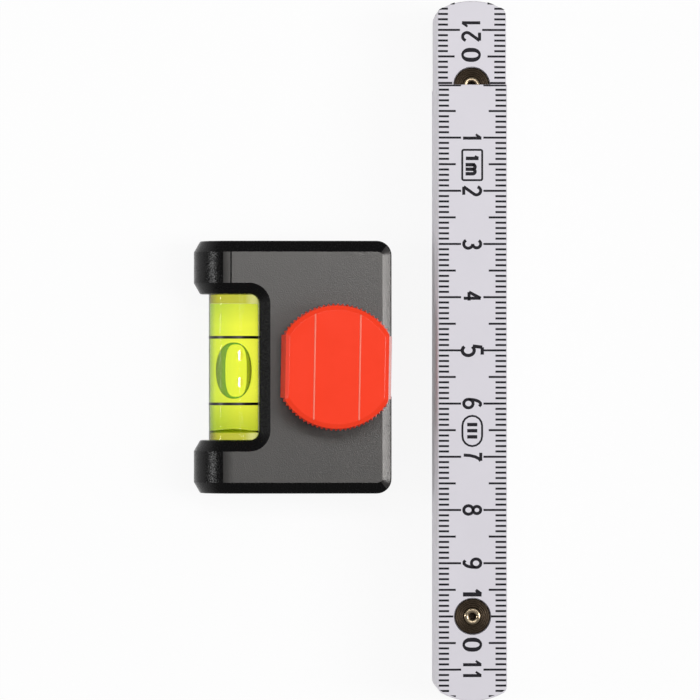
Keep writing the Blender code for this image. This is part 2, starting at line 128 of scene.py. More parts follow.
def ease(shape, geom, size, steps, affect="EDGES"):
    """Rounds edges, or the corners of a flat outline. One step cuts a plain chamfer."""
    bmesh.ops.bevel(
        shape, geom=geom, affect=affect, offset=size, segments=steps, profile=0.5, material=-1
    )


def rim_edges(shape):
    """The edges that lie in the lowest and in the highest plane of an upright prism."""
    heights = [point.co.z for point in shape.verts]
    ends = (min(heights), max(heights))
    return [
        edge
        for edge in shape.edges
        if any(all(abs(point.co.z - end) < WELD for point in edge.verts) for end in ends)
    ]


def turned(profile, steps, centre=(0, 0, 0)):
    """Spins (radius, height) points round an upright axis. Off the axis, they close into a ring."""
    shape = bmesh.new()
    points = [shape.verts.new((radius, 0, height)) for radius, height in profile]
    edges = [shape.edges.new(pair) for pair in zip(points, points[1:])]
    if profile[0][0] > 0:
        edges.append(shape.edges.new((points[-1], points[0])))
    bmesh.ops.spin(
        shape,
        geom=points + edges,
        cent=(0, 0, 0),
        axis=(0, 0, 1),
        angle=math.tau,
        steps=steps,
        use_merge=True,
    )
    bmesh.ops.remove_doubles(shape, verts=shape.verts[:], dist=WELD)
    bmesh.ops.translate(shape, verts=shape.verts[:], vec=centre)
    return shape


def arc(radius, height, size, start, end, steps):
    """Profile points along a quarter or other part of a circle, angles in degrees."""
    angles = [math.radians(start + (end - start) * step / steps) for step in range(steps + 1)]
    return [(radius + size * math.cos(angle), height + size * math.sin(angle)) for angle in angles]


# %% [markdown]
# ## Shared surface effects
# Moulded plastic is never one flat colour: its tone drifts over a few millimetres, its gloss drifts
# with it, and the steel of the mould leaves a fine grain. One node group makes all three, and each
# material places it with its own numbers. A second group makes the rings that a lathe or a stamping
# die leaves on round metal, from a distance to the axis that is stored on the mesh.

# %% A short way to add shader nodes
def node(tree, kind, settings=(), **feeds):
    """Adds a shader node. A feed is a value, or the output of another node."""
    made = tree.nodes.new(kind)
    for key, value in dict(settings).items():
        setattr(made, key, value)
    for key, value in feeds.items():
        socket = made.inputs[key.replace("_", " ")]
        if isinstance(value, bpy.types.NodeSocket):
            tree.links.new(value, socket)
        else:
            socket.default_value = value
    return made


def maths(tree, operation, *values):
    """One Math node, fed in order, and its result."""
    made = tree.nodes.new("ShaderNodeMath")
    made.operation = operation
    for socket, value in zip(made.inputs, values):
        if isinstance(value, bpy.types.NodeSocket):
            tree.links.new(value, socket)
        else:
            socket.default_value = value
    return made.outputs["Value"]


def new_group(name, inputs, outputs):
    """An empty shader node group with named sockets, its input node and its output node."""
    tree = bpy.data.node_groups.new(name, "ShaderNodeTree")
    for in_out, sockets in (("INPUT", inputs), ("OUTPUT", outputs)):
        for label, kind in sockets:
            tree.interface.new_socket(name=label, in_out=in_out, socket_type=f"NodeSocket{kind}")
    return tree, tree.nodes.new("NodeGroupInput"), tree.nodes.new("NodeGroupOutput")


# %% Moulded surface: tone, gloss and grain
BROAD_PATCHES = 160
SMOOTHEST = 0.01

moulded_surface, given, made = new_group(
    "moulded_surface",
    [
        ("Colour", "Color"),
        ("Variation", "Float"),
        ("Roughness", "Float"),
        ("Roughness Spread", "Float"),
        ("Grain Size", "Float"),
        ("Sparkle", "Float"),
    ],
    [("Colour", "Color"), ("Roughness", "Float"), ("Height", "Float")],
)
place = node(moulded_surface, "ShaderNodeTexCoord").outputs["Object"]
grains_per_metre = maths(moulded_surface, "DIVIDE", 1.0, given.outputs["Grain Size"])
grain = node(
    moulded_surface, "ShaderNodeTexNoise", Vector=place, Scale=grains_per_metre, Detail=2.0, Roughness=0.6
)
patches = node(
    moulded_surface, "ShaderNodeTexNoise", Vector=place, Scale=BROAD_PATCHES, Detail=3.0, Roughness=0.55
)
drift = maths(moulded_surface, "MULTIPLY_ADD", patches.outputs["Fac"], 2.0, -1.0)
brightness = maths(moulded_surface, "MULTIPLY_ADD", drift, given.outputs["Variation"], 1.0)
toned = node(
    moulded_surface, "ShaderNodeHueSaturation", Value=brightness, Color=given.outputs["Colour"]
)
gloss = maths(
    moulded_surface, "MULTIPLY_ADD", drift, given.outputs["Roughness Spread"], given.outputs["Roughness"]
)
crystals = maths(moulded_surface, "MULTIPLY_ADD", grain.outputs["Fac"], 2.0, -1.0)
glints = maths(moulded_surface, "MULTIPLY_ADD", crystals, given.outputs["Sparkle"], gloss)
gloss = maths(moulded_surface, "MAXIMUM", glints, SMOOTHEST)
moulded_surface.links.new(toned.outputs["Color"], made.inputs["Colour"])
moulded_surface.links.new(gloss, made.inputs["Roughness"])
moulded_surface.links.new(grain.outputs["Fac"], made.inputs["Height"])
print("group:", moulded_surface.name, len(moulded_surface.nodes), "nodes")

# %% Turned rings: fine circles round an axis
AXIS_DISTANCE = "axis_distance"
RING_UNEVENNESS = 700

turned_rings, given, made = new_group(
    "turned_rings",
    [("Ring Pitch", "Float"), ("Waver", "Float")],
    [("Height", "Float")],
)
place = node(turned_rings, "ShaderNodeTexCoord").outputs["Object"]
from_axis = node(turned_rings, "ShaderNodeAttribute", {"attribute_name": AXIS_DISTANCE}).outputs["Fac"]
turns = maths(turned_rings, "DIVIDE", from_axis, given.outputs["Ring Pitch"])
unevenness = node(turned_rings, "ShaderNodeTexNoise", Vector=place, Scale=RING_UNEVENNESS, Detail=2.0)
shifted = maths(
    turned_rings, "MULTIPLY_ADD", unevenness.outputs["Fac"], given.outputs["Waver"], turns
)
wave = maths(turned_rings, "SINE", maths(turned_rings, "MULTIPLY", shifted, math.tau))
turned_rings.links.new(wave, made.inputs["Height"])


def mark_axis(shape, x, y):
    """Stores on each point how far it lies from an upright axis."""
    layer = shape.verts.layers.float.new(AXIS_DISTANCE)
    for point in shape.verts:
        point[layer] = math.hypot(point.co.x - x, point.co.y - y)
    return shape


# %% A material with a moulded surface
def moulded(name, colour, roughness, variation, spread, grain, depth, sparkle=0, **sockets):
    """A Principled material whose colour, gloss and bump come from the moulded surface."""
    made = bpy.data.materials.new(name)
    made.use_nodes = True
    tree = made.node_tree
    shader = tree.nodes["Principled BSDF"]
    surface = tree.nodes.new("ShaderNodeGroup")
    surface.node_tree = moulded_surface
    surface.inputs["Colour"].default_value = (*colour, 1)
    surface.inputs["Variation"].default_value = variation
    surface.inputs["Roughness"].default_value = roughness
    surface.inputs["Roughness Spread"].default_value = spread
    surface.inputs["Grain Size"].default_value = grain
    surface.inputs["Sparkle"].default_value = sparkle
    bump = node(tree, "ShaderNodeBump", Distance=depth, Height=surface.outputs["Height"])
    tree.links.new(surface.outputs["Colour"], shader.inputs["Base Color"])
    tree.links.new(surface.outputs["Roughness"], shader.inputs["Roughness"])
    tree.links.new(bump.outputs["Normal"], shader.inputs["Normal"])
    for label, value in sockets.items():
        shader.inputs[label.replace("_", " ")].default_value = value
    return made


def ringed(look, pitch, waver, depth):
    """Lays turned rings over the grain of a moulded material."""
    tree = look.node_tree
    rings = tree.nodes.new("ShaderNodeGroup")
    rings.node_tree = turned_rings
    rings.inputs["Ring Pitch"].default_value = pitch
    rings.inputs["Waver"].default_value = waver
    shader = tree.nodes["Principled BSDF"]
    grain_normal = shader.inputs["Normal"].links[0].from_socket
    bump = node(tree, "ShaderNodeBump", Distance=depth, Height=rings.outputs["Height"], Normal=grain_normal)
    tree.links.new(bump.outputs["Normal"], shader.inputs["Normal"])
    return look


# %% [markdown]
# ## The rule's ten plates
# Each section of the real rule is a moulded plate with softly rounded edges, an arc past each joint
# and a straight cut where the scale begins or ends. A plate could be a stretched cube, but an outline
# swept from single points gives true arcs. The seats for the joint discs are then cut in.

# %% White plastic of the plates
white_plastic = moulded(
    "white_plastic",
    colour=(0.675, 0.652, 0.705),
    roughness=0.42,
    variation=0.03,
    spread=0.06,
    grain=0.18 * MM,
    depth=0.004 * MM,
)

# %% Sizes of a plate and its joints
SECTIONS = range(1, 11)
JOINTS = range(1, 10)
RIVET_PITCH = 100 * MM
END_OVERHANG = 15.9 * MM
PLATE_WIDTH = 13 * MM
PLATE_THICKNESS = 2.1 * MM
PLATE_EDGE = 0.2 * MM
EDGE_STEPS = 3
END_RADIUS = 12 * MM
END_STEPS = 20
END_CORNER = 0.9 * MM
BOSS_RADIUS = 5 * MM
BOSS_HEIGHT = 0.25 * MM
SEAT_RADIUS = 3.5 * MM
SEAT_DEPTH = 0.82 * MM
RIVET_HOLE = 1.16 * MM
ROUND_STEPS = 48
CLEAR = 0.5 * MM

rule_low, rule_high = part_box("rule_section_01")
RULE_X = (rule_low.x + rule_high.x) / 2


def section_body(number):
    return f"section_{number:02d}"


def plate_top(number):
    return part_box(f"rule_section_{number:02d}")[1].z


def joint_y(joint):
    """Odd joints lie at the -Y end of the folded stack, even ones at the +Y end."""
    return (-1 if joint % 2 else 1) * RIVET_PITCH / 2


def joints_of(number):
    return [joint for joint in (number - 1, number) if joint in JOINTS]


# %% Plate blanks with rounded ends
def plate_end(shape, side, jointed):
    """The points of one end, from its right corner to its left one as seen from that end."""
    half = PLATE_WIDTH / 2
    if not jointed:
        tip = side * RIVET_PITCH / 2
        return [shape.verts.new((RULE_X + turn * side * half, tip, 0)) for turn in (1, -1)]
    centre_y = side * (RIVET_PITCH / 2 + END_OVERHANG - END_RADIUS)
    rise = math.sqrt(END_RADIUS**2 - half**2)
    first = shape.verts.new((RULE_X + side * half, centre_y + side * rise, 0))
    swept = bmesh.ops.spin(
        shape,
        geom=[first],
        cent=(RULE_X, centre_y, 0),
        axis=(0, 0, 1),
        angle=2 * math.asin(half / END_RADIUS),
        steps=END_STEPS,
    )
    return [first, swept["geom_last"][0]]


def plate_blank(number):
    """A plate at its height, with eased edges and without its joint seats."""
    jointed = {joint_y(joint) > 0 for joint in joints_of(number)}
    shape = bmesh.new()
    far = plate_end(shape, 1, True in jointed)
    near = plate_end(shape, -1, False in jointed)
    soft = [point for end, is_far in ((far, True), (near, False)) if is_far in jointed for point in end]
    for pair in ((far[1], near[0]), (near[1], far[0])):
        shape.edges.new(pair)
    for end, is_far in ((far, True), (near, False)):
        if is_far not in jointed:
            shape.edges.new(end)
    bmesh.ops.contextual_create(shape, geom=shape.edges[:])
    ease(shape, soft, END_CORNER, EDGE_STEPS, affect="VERTICES")
    raise_up(shape, PLATE_THICKNESS)
    ease(shape, rim_edges(shape), PLATE_EDGE, EDGE_STEPS)
    bmesh.ops.translate(shape, verts=shape.verts[:], vec=(0, 0, plate_top(number) - PLATE_THICKNESS))
    return shape


def joint_seat(joint, number):
    """The seat of a disc with its rivet hole: in the top of the upper plate, the base of the lower."""
    top = plate_top(number)
    base = top - PLATE_THICKNESS
    upper = number == joint
    face = top if upper else base
    out = CLEAR if upper else -CLEAR
    seat = SEAT_DEPTH if upper else -SEAT_DEPTH
    through = base - 2 * CLEAR if upper else top + CLEAR
    profile = [
        (0, face + out),
        (SEAT_RADIUS, face + out),
        (SEAT_RADIUS, face - seat),
        (RIVET_HOLE, face - seat),
        (RIVET_HOLE, through),
        (0, through),
    ]
    return turned(profile, ROUND_STEPS, (RULE_X, joint_y(joint), 0))


def joint_boss(joint):
    """The low round pad under the upper plate, which bears on the plate below."""
    base = plate_top(joint) - PLATE_THICKNESS
    low = base - BOSS_HEIGHT
    profile = [(0, low), (BOSS_RADIUS, low), (BOSS_RADIUS, base + CLEAR), (0, base + CLEAR)]
    return turned(profile, ROUND_STEPS, (RULE_X, joint_y(joint), 0))


for number in SECTIONS:
    seats = [joint_seat(joint, number) for joint in joints_of(number)]
    bosses = [joint_boss(joint) for joint in joints_of(number) if joint == number]
    plate = carve(plate_blank(number), cutters=seats, joined=bosses)
    node_name = f"rule_section_{number:02d}"
    finished(f"plate_{number:02d}", plate, white_plastic, section_body(number), "white_plastic", node_name)
print("plates:", len(SECTIONS), "from", rule_low.y, "to", rule_high.y)

# %% [markdown]
# ## The printed scale
# The scale is black ink, a few hundredths of a millimetre thick, on both faces of every plate. It
# could be painted by a texture, but ink made as a thin mesh stays sharp at any distance. Ticks are
# slim bars. Numerals are drawn as strokes, as a technical pen would: a curve with a round bevel,
# pressed flat and made into mesh. Numbers run on from plate to plate, so they turn round on each fold.

# %% Ink and the sizes of the print
scale_ink = moulded(
    "scale_ink",
    colour=(0.011, 0.0095, 0.014),
    roughness=0.5,
    variation=0.25,
    spread=0.08,
    grain=0.1 * MM,
    depth=0.003 * MM,
    Specular_IOR_Level=0.15,
)
INK = 0.012 * MM
TICK_WIDTH = 0.39 * MM
TICK_MARGIN = 0.15 * MM
END_MARGIN = 0.3 * MM
TICK_MILLIMETRE = 2.13 * MM
TICK_FIVE = 3.4 * MM
TICK_CENTIMETRE = 4.4 * MM
TICK_AT_JOINT = 2.95 * MM
ODD_PRINT_ACROSS = -0.05 * MM
EVEN_PRINT_ACROSS = 0.13 * MM
EVEN_PLATE_REGISTER = 0.41 * MM
SHORTEST_TICK = 0.3 * MM
END_TICK_WIDTH = 0.3 * MM
END_TICK_INSET = 0.2 * MM
DIGIT_STEP = 2.5 * MM
ONES_STEP = 2.04 * MM
TENS_BEFORE = 4.25 * MM
TENS_AFTER = 5.3 * MM
STROKE_TURN = 20
STROKE_FLATTENING = 0.065

# Half width, half height and line width of each size of numeral
PLAIN_NUMERAL = (0.8 * MM, 1.6 * MM, 0.585 * MM)
FIVE_NUMERAL = (0.95 * MM, 1.88 * MM, 0.64 * MM)
TENS_NUMERAL = (0.93 * MM, 1.62 * MM, 0.8 * MM)


# %% Numerals as pen strokes
def sweep(x, y, wide, high, start, end):
    """Stroke points along part of an ellipse, angles in degrees."""
    steps = max(2, round(abs(end - start) / STROKE_TURN))
    angles = [math.radians(start + (end - start) * step / steps) for step in range(steps + 1)]
    return [(x + wide * math.cos(angle), y + high * math.sin(angle)) for angle in angles]


def loop(x, y, wide, high):
    """A closed ring of stroke points."""
    return sweep(x, y, wide, high, 0, 360 - STROKE_TURN)


SIX = [(sweep(0.1, -0.4, 1.08, 1.4, 60, 180), False), (loop(0, -0.45, 1, 0.55), True)]

# Each numeral fills a box from -1 to 1, as strokes of (points, closed). Sharp corners part strokes.
NUMERALS = {
    "0": [(sweep(0, 0.2, 1, 0.8, 0, 180) + sweep(0, -0.2, 1, 0.8, 180, 360), True)],
    "1": [([(-0.78, 0.42), (0.12, 1)], False), ([(0.12, 1.08), (0.12, -1.08)], False)],
    "2": [
        (sweep(0, 0.5, 0.95, 0.5, 165, -35) + [(-0.95, -1)], False),
        ([(-0.95, -1), (0.95, -1)], False),
    ],
    "3": [
        (sweep(0, 0.53, 0.92, 0.47, 150, -90), False),
        (sweep(0, -0.47, 1, 0.53, 90, -150), False),
    ],
    "4": [
        ([(0.25, -1), (0.25, 1)], False),
        ([(0.25, 1), (-1.2, -0.38)], False),
        ([(-1.2, -0.38), (0.8, -0.38)], False),
    ],
    "5": [
        ([(0.85, 1), (-0.62, 1)], False),
        ([(-0.62, 1), (-0.85, 0.05)], False),
        (sweep(0.02, -0.4, 1, 0.6, 138, -140), False),
    ],
    "6": SIX,
    "7": [([(-0.95, 1), (0.95, 1)], False), (sweep(1.15, -1, 1.55, 2, 96, 180), False)],
    "8": [(loop(0, 0.55, 0.85, 0.45), True), (loop(0, -0.45, 1, 0.55), True)],
    "9": [([(-x, -y) for x, y in points], closed) for points, closed in SIX],
}


ZERO_THINNING = 0.4
FLAG_TAPER = 0.45


def pen_width(digit, x, y):
    """The share of the line's width at a point: a 0 thins at its ends, the flag of a 1 at its tip."""
    if digit == "0":
        return 1 - ZERO_THINNING * abs(y) ** 3
    return 1 + FLAG_TAPER * min(0, x) if digit == "1" else 1


def numeral(digit, along, size):
    """The strokes of one digit centred on a place along the plate."""
    wide, high, line = size
    return [
        (
            [(along + wide * x, high * y) for x, y in points],
            closed,
            [line * pen_width(digit, x, y) for x, y in points],
        )
        for points, closed in NUMERALS[digit]
    ]


def number_strokes(value, along):
    """A whole number at its centimetre line. Tens stand to both sides of a rivet."""
    text = str(value)
    if value % 10 == 0:
        places = (along - TENS_BEFORE, along + TENS_AFTER)
        return [stroke for digit, at in zip(text, places) for stroke in numeral(digit, at, TENS_NUMERAL)]
    size = FIVE_NUMERAL if value % 10 == 5 else PLAIN_NUMERAL
    step = ONES_STEP if set(text) == {"1"} else DIGIT_STEP
    first = along - step * (len(text) - 1) / 2
    return [
        stroke for index, digit in enumerate(text) for stroke in numeral(digit, first + step * index, size)
    ]


# %% The two boxed marks on the first plate
MARK_LINE = 0.38 * MM
MARK_BOLD = 0.66 * MM
LENGTH_BOX = (12.3 * MM, 18.0 * MM, 3.75 * MM, 0.3 * MM)
CLASS_OVAL = (62.3 * MM, 68.0 * MM, 3.7 * MM, 1.85 * MM)
CLASS_BARS = (63.95 * MM, 65.1 * MM, 66.25 * MM)
CLASS_BAR_HALF = 0.95 * MM
METRE_ONE = (13.85 * MM, (0.45 * MM, 1.1 * MM, MARK_BOLD))
METRE_STEMS = (15.1 * MM, 15.95 * MM, 16.8 * MM)
METRE_LOW = -1.25 * MM
METRE_HIGH = 0.1 * MM


def frame_strokes(start, end, across, corner):
    """A closed line round a box with round corners."""
    points = []
    for turn, (x, side) in enumerate(((end, 1), (start, 1), (start, -1), (end, -1))):
        inward = corner if x == start else -corner
        points += sweep(x + inward, side * (across / 2 - corner), corner, corner, 90 * turn, 90 * turn + 90)
    return [(points, True, [MARK_LINE] * len(points))]


def mark_strokes():
    """The nominal length and the accuracy class, as every such rule carries them."""
    strokes = frame_strokes(*LENGTH_BOX) + frame_strokes(*CLASS_OVAL)
    one_at, one_size = METRE_ONE
    strokes += numeral("1", one_at, one_size)
    half_gap = (METRE_STEMS[1] - METRE_STEMS[0]) / 2
    letter = [[(METRE_STEMS[0], METRE_LOW), (METRE_STEMS[0], METRE_HIGH + half_gap)]]
    for stem in METRE_STEMS[1:]:
        arch = sweep(stem - half_gap, METRE_HIGH, half_gap, half_gap, 180, 0)
        letter.append(arch + [(stem, METRE_LOW)])
    for bar in CLASS_BARS:
        letter.append([(bar, -CLASS_BAR_HALF), (bar, CLASS_BAR_HALF)])
    strokes += [(points, False, [MARK_BOLD] * len(points)) for points in letter]
    return strokes


# %% Strokes and ticks become one thin mesh of ink
def stroke_mesh(strokes, across):
    """Draws strokes as one curve with a round bevel and returns its mesh, pressed flat."""
    pen = bpy.data.curves.new("pen", "CURVE")
    pen.dimensions = "3D"
    pen.bevel_depth = MM
    pen.bevel_resolution = 1
    pen.use_fill_caps = True
    for points, closed, widths in strokes:
        spline = pen.splines.new("POLY")
        spline.points.add(len(points) - 1)
        spline.use_cyclic_u = closed
        for target, (x, y), width in zip(spline.points, points, widths):
            target.co = (x, y, 0, 1)
            target.radius = width / 2 / MM
    holder = bpy.data.objects.new("pen", pen)
    bpy.context.scene.collection.objects.link(holder)
    graph = bpy.context.evaluated_depsgraph_get()
    mesh = bpy.data.meshes.new_from_object(holder.evaluated_get(graph))
    bpy.data.objects.remove(holder)
    mesh.transform(Matrix.Translation((0, across, 0)) @ Matrix.Diagonal((1, 1, STROKE_FLATTENING, 1)))
    return mesh


def half_width_at(along, start_jointed, end_jointed):
    """Half the width that the print may have at a place along the scale, inside the plate's edge."""
    half = PLATE_WIDTH / 2 - TICK_MARGIN
    radius = END_RADIUS - END_MARGIN
    reach = END_OVERHANG - END_RADIUS
    past = max(-along - reach if start_jointed else 0, along - RIVET_PITCH - reach if end_jointed else 0)
    return min(half, math.sqrt(max(0, radius**2 - max(0, past) ** 2)))


def tick_length(millimetre, at_joint):
    if at_joint:
        return TICK_AT_JOINT
    if millimetre % 10 == 0:
        return TICK_CENTIMETRE
    return TICK_FIVE if millimetre % 5 == 0 else TICK_MILLIMETRE


def tick(shape, along, width, inner, side, edge_at):
    """One slim bar of ink, whose outer end follows the edge of the plate."""
    at = Matrix.Translation((along, side * inner, 0))
    size = Matrix.Diagonal((width, SHORTEST_TICK, 2 * INK, 1))
    bar = bmesh.ops.create_cube(shape, size=1, matrix=at @ size)["verts"]
    for point in bar:
        reach = max(inner, edge_at(point.co.x)) if side * point.co.y > inner else inner
        point.co.y = side * reach


def printed_face(number):
    """The ink on one face: x runs along the scale from its first mark, y across, z out of the face."""
    joints = joints_of(number)
    start_jointed = number - 1 in joints
    end_jointed = number in joints
    first = -15 if start_jointed else 0
    last = 115 if end_jointed else 100
    across = ODD_PRINT_ACROSS if number % 2 else EVEN_PRINT_ACROSS

    def edge_at(along):
        return half_width_at(along, start_jointed, end_jointed)

    shape = bmesh.new()
    for millimetre in range(first, last + 1):
        at_joint = (millimetre == 0 and start_jointed) or (millimetre == 100 and end_jointed)
        at_end = not at_joint and millimetre in (0, 100)
        along = millimetre * MM
        if at_end:
            along += END_TICK_INSET if millimetre == 0 else -END_TICK_INSET
        for side in (-1, 1):
            inner = PLATE_WIDTH / 2 - tick_length(millimetre, at_joint) + side * across
            if edge_at(along) - inner > SHORTEST_TICK:
                tick(shape, along, END_TICK_WIDTH if at_end else TICK_WIDTH, inner, side, edge_at)
    strokes = mark_strokes() if number == 1 else []
    for centimetre in range(-1 if start_jointed else 1, 12 if end_jointed else 10):
        strokes += number_strokes((number - 1) * 10 + centimetre, centimetre * 10 * MM)
    shape.from_mesh(stroke_mesh(strokes, across))
    return shape


def face_place(number, upper):
    """Where the print of a face goes. Odd plates count towards -Y, even ones towards +Y."""
    toward = -1 if number % 2 else 1
    top = plate_top(number)
    if upper:
        turn = Matrix(((0, -toward, 0), (toward, 0, 0), (0, 0, 1)))
    else:
        turn = Matrix(((0, toward, 0), (toward, 0, 0), (0, 0, -1)))
    height = top if upper else top - PLATE_THICKNESS
    start = -toward * RIVET_PITCH / 2 + (EVEN_PLATE_REGISTER if toward > 0 else 0)
    return Matrix.Translation((RULE_X, start, height)) @ turn.to_4x4()


for number in SECTIONS:
    ink = printed_face(number)
    back = ink.copy()
    bmesh.ops.transform(ink, matrix=face_place(number, True), verts=ink.verts[:])
    bmesh.ops.transform(back, matrix=face_place(number, False), verts=back.verts[:])
    both = bpy.data.meshes.new("print")
    back.to_mesh(both)
    back.free()
    ink.from_mesh(both)
    scale = finished(f"printed_scale_{number:02d}", ink, scale_ink, section_body(number), "ring_black")
print("ink faces on one plate:", len(scale.data.polygons))

# %% [markdown]
# ## Discs and rivets of the joints
# At each fold a dished spring disc is sunk into the plate, and a tubular rivet with a rolled head
# holds it. Both are round, so a profile is spun. The disc is browned spring steel with fine stamping
# circles; the rivet is bright and catches the lamps on its rolled rim, and its bore takes the dark disc
# material as painted shade in the hole.

# %% Browned disc and bright rivet
browned_steel = ringed(
    moulded(
        "browned_steel",
        colour=(0.07, 0.052, 0.036),
        roughness=0.46,
        variation=0.25,
        spread=0.1,
        grain=0.3 * MM,
        depth=0.004 * MM,
        Metallic=1.0,
    ),
    pitch=0.36 * MM,
    waver=0.5,
    depth=0.07 * MM,
)
rivet_nickel = ringed(
    moulded(
        "rivet_nickel",
        colour=(0.4, 0.32, 0.22),
        roughness=0.2,
        variation=0.12,
        spread=0.08,
        grain=0.15 * MM,
        depth=0.003 * MM,
        Metallic=1.0,
    ),
    pitch=0.16 * MM,
    waver=1.2,
    depth=0.004 * MM,
)

# %% Spin and place them at every joint
DISC_RADIUS = 3.33 * MM
DISC_SHEET = 0.3 * MM
DISC_DISH = 0.45 * MM
DISC_LIP = 0.12 * MM
FLUSH = 0.02 * MM
RIVET_BODY = 1.1 * MM
RIVET_BORE = 0.6 * MM
RIVET_HEAD = 1.65 * MM
RIVET_WEB = 2.4 * MM
HEAD_STEPS = 8


def disc_profile():
    """A dished disc below a face at height 0, with a rounded rim and a flat hub."""
    hub = -FLUSH - DISC_DISH
    hub_edge = RIVET_HEAD + DISC_LIP
    upper = [(RIVET_HOLE, hub), (hub_edge, hub), (DISC_RADIUS - DISC_LIP, -FLUSH)]
    lower = [(DISC_RADIUS, -FLUSH - DISC_SHEET), (hub_edge, hub - DISC_SHEET), (RIVET_HOLE, hub - DISC_SHEET)]
    return upper + [(DISC_RADIUS, -FLUSH - DISC_LIP)] + lower


def rolled_head(face):
    """A rolled rim as a half ring, from the bore over its crown to its outer edge."""
    middle = (RIVET_BORE + RIVET_HEAD) / 2
    half = (RIVET_HEAD - RIVET_BORE) / 2
    crown = DISC_DISH - FLUSH
    angles = [math.pi * (1 - step / HEAD_STEPS) for step in range(HEAD_STEPS + 1)]
    return [(middle + half * math.cos(angle), face - crown + crown * math.sin(angle)) for angle in angles]


def rivet_profile(low, high):
    """A rivet hollow from both ends, with a web left in its middle and a rolled head at each end."""
    web_top = (low + high + RIVET_WEB) / 2
    web = [(RIVET_BORE, web_top - RIVET_WEB), (0, web_top - RIVET_WEB), (0, web_top), (RIVET_BORE, web_top)]
    upper = rolled_head(high - FLUSH)
    lower = [(radius, low + high - height) for radius, height in rolled_head(high - FLUSH)]
    shoulder = DISC_DISH
    stem = [(RIVET_BODY, high - shoulder), (RIVET_BODY, low + shoulder)]
    return upper + stem + lower[::-1] + web


def brown_the_bore(rivet, axis):
    """The bore and its web take the dark disc material as painted shade, while the rolled heads are bright.
    """
    rivet.data.materials.append(browned_steel)
    for face in rivet.data.polygons:
        if (face.center.xy - axis).length < RIVET_BORE:
            face.material_index = 1


for joint in JOINTS:
    y = joint_y(joint)
    top = plate_top(joint)
    base = plate_top(joint + 1) - PLATE_THICKNESS
    upper_disc = turned(disc_profile(), ROUND_STEPS, (RULE_X, y, top))
    mirrored = [(radius, -height) for radius, height in disc_profile()]
    lower_disc = turned(mirrored, ROUND_STEPS, (RULE_X, y, base))
    rivet = turned(rivet_profile(base, top), ROUND_STEPS, (RULE_X, y, 0))
    for name, shape, look, slot, carrier in (
        ("joint_disc_upper", upper_disc, browned_steel, "dark_bronze", joint),
        ("joint_disc_lower", lower_disc, browned_steel, "dark_bronze", joint + 1),
        ("joint_rivet", rivet, rivet_nickel, "rolled_rivet", joint + 1),
    ):
        mark_axis(shape, RULE_X, y)
        node_name = f"{name}_{joint:02d}"
        piece = finished(f"fine_{node_name}", shape, look, section_body(carrier), slot, node_name)
    brown_the_bore(piece, Vector((RULE_X, y)))
print("joints:", len(JOINTS))

# %% [markdown]
# ## The level's body
# The body is one black moulding: a flat block with wide chamfers, a half-round lobe at each end of
# the vial, a clamping slot in its right edge and a thumb notch above it. A C-shaped outline is
# extruded and chamfered, and its open ends are spun through half a turn, so the lobes grow out of
# the block without a seam. The mould was spark-eroded, so the lobes and chamfers glitter with a sandy
# grain. The flat faces, the right chamfer and the walls round the vial are satin.

# %% Black plastic with a sandy grain
black_plastic = moulded(
    "black_plastic",
    colour=(0.0045, 0.0042, 0.0042),
    roughness=0.32,
    variation=0.15,
    spread=0.04,
    grain=0.22 * MM,
    depth=0.036 * MM,
    IOR=1.6,
    Specular_IOR_Level=0.86,
    Specular_Tint=(1.0, 0.97, 0.94, 1),
)
coarse_black = moulded(
    "coarse_black",
    colour=(0.0025, 0.0024, 0.0026),
    roughness=0.22,
    variation=0.15,
    spread=0.04,
    grain=0.26 * MM,
    depth=0.045 * MM,
    sparkle=0.9,
    Specular_IOR_Level=0.18,
)

# %% Sizes of the body
LEVEL_WIDTH = 37.5 * MM
LEVEL_LENGTH = 48 * MM
LEVEL_THICKNESS = 15 * MM
LEVEL_CORNER = 2.8 * MM
CHAMFER_LENGTH = 2.1 * MM
CHAMFER_DEPTH = 1.2 * MM
RIGHT_CHAMFER_DEPTH = 0.63 * MM
RIGHT_CHAMFER_NARROWING = 0.35 * MM
WINDOW_LENGTH = 27.8 * MM
WINDOW_DEPTH = 12.4 * MM
WINDOW_CORNER = 1.9 * MM
WINDOW_CHAMFER_DEPTH = 2.0 * MM
SLOT_HEIGHT = 5.2 * MM
SLOT_DEPTH = 18 * MM
BACK_JAW = 4.4 * MM
NOTCH_WIDTH = 9 * MM
NOTCH_DEPTH = 3 * MM
NOTCH_CORNER = 1.5 * MM
VIAL_BORE = 4.85 * MM
VIAL_BORE_END = 20.8 * MM
SCREW_HOLE = 3.3 * MM
INSERT_SEAT = 4.55 * MM
INSERT_LIP = 0.8 * MM
PAD_POCKET = 5.0 * MM
PAD_POCKET_DEPTH = 1.9 * MM
CORNER_STEPS = 8
BARREL_STEPS = 36
BODY_EDGE = 0.22 * MM
BODY_EDGE_STEPS = 3
SHARP_FROM = math.radians(45)
BODY_CRISP = math.radians(15)

level_low, level_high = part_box("level_body")
knob_low, knob_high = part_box("clamp_knob")
BARREL_RADIUS = LEVEL_THICKNESS / 2
LEVEL_Y = (level_low.y + level_high.y) / 2
CLAMP_X = (knob_low.x + knob_high.x) / 2
SLOT_TOP = BACK_JAW + SLOT_HEIGHT


# %% The chamfered block with its spun lobes
def on_barrel_side(part):
    return all(abs(point.co.x - BARREL_RADIUS) < WELD for point in part.verts)


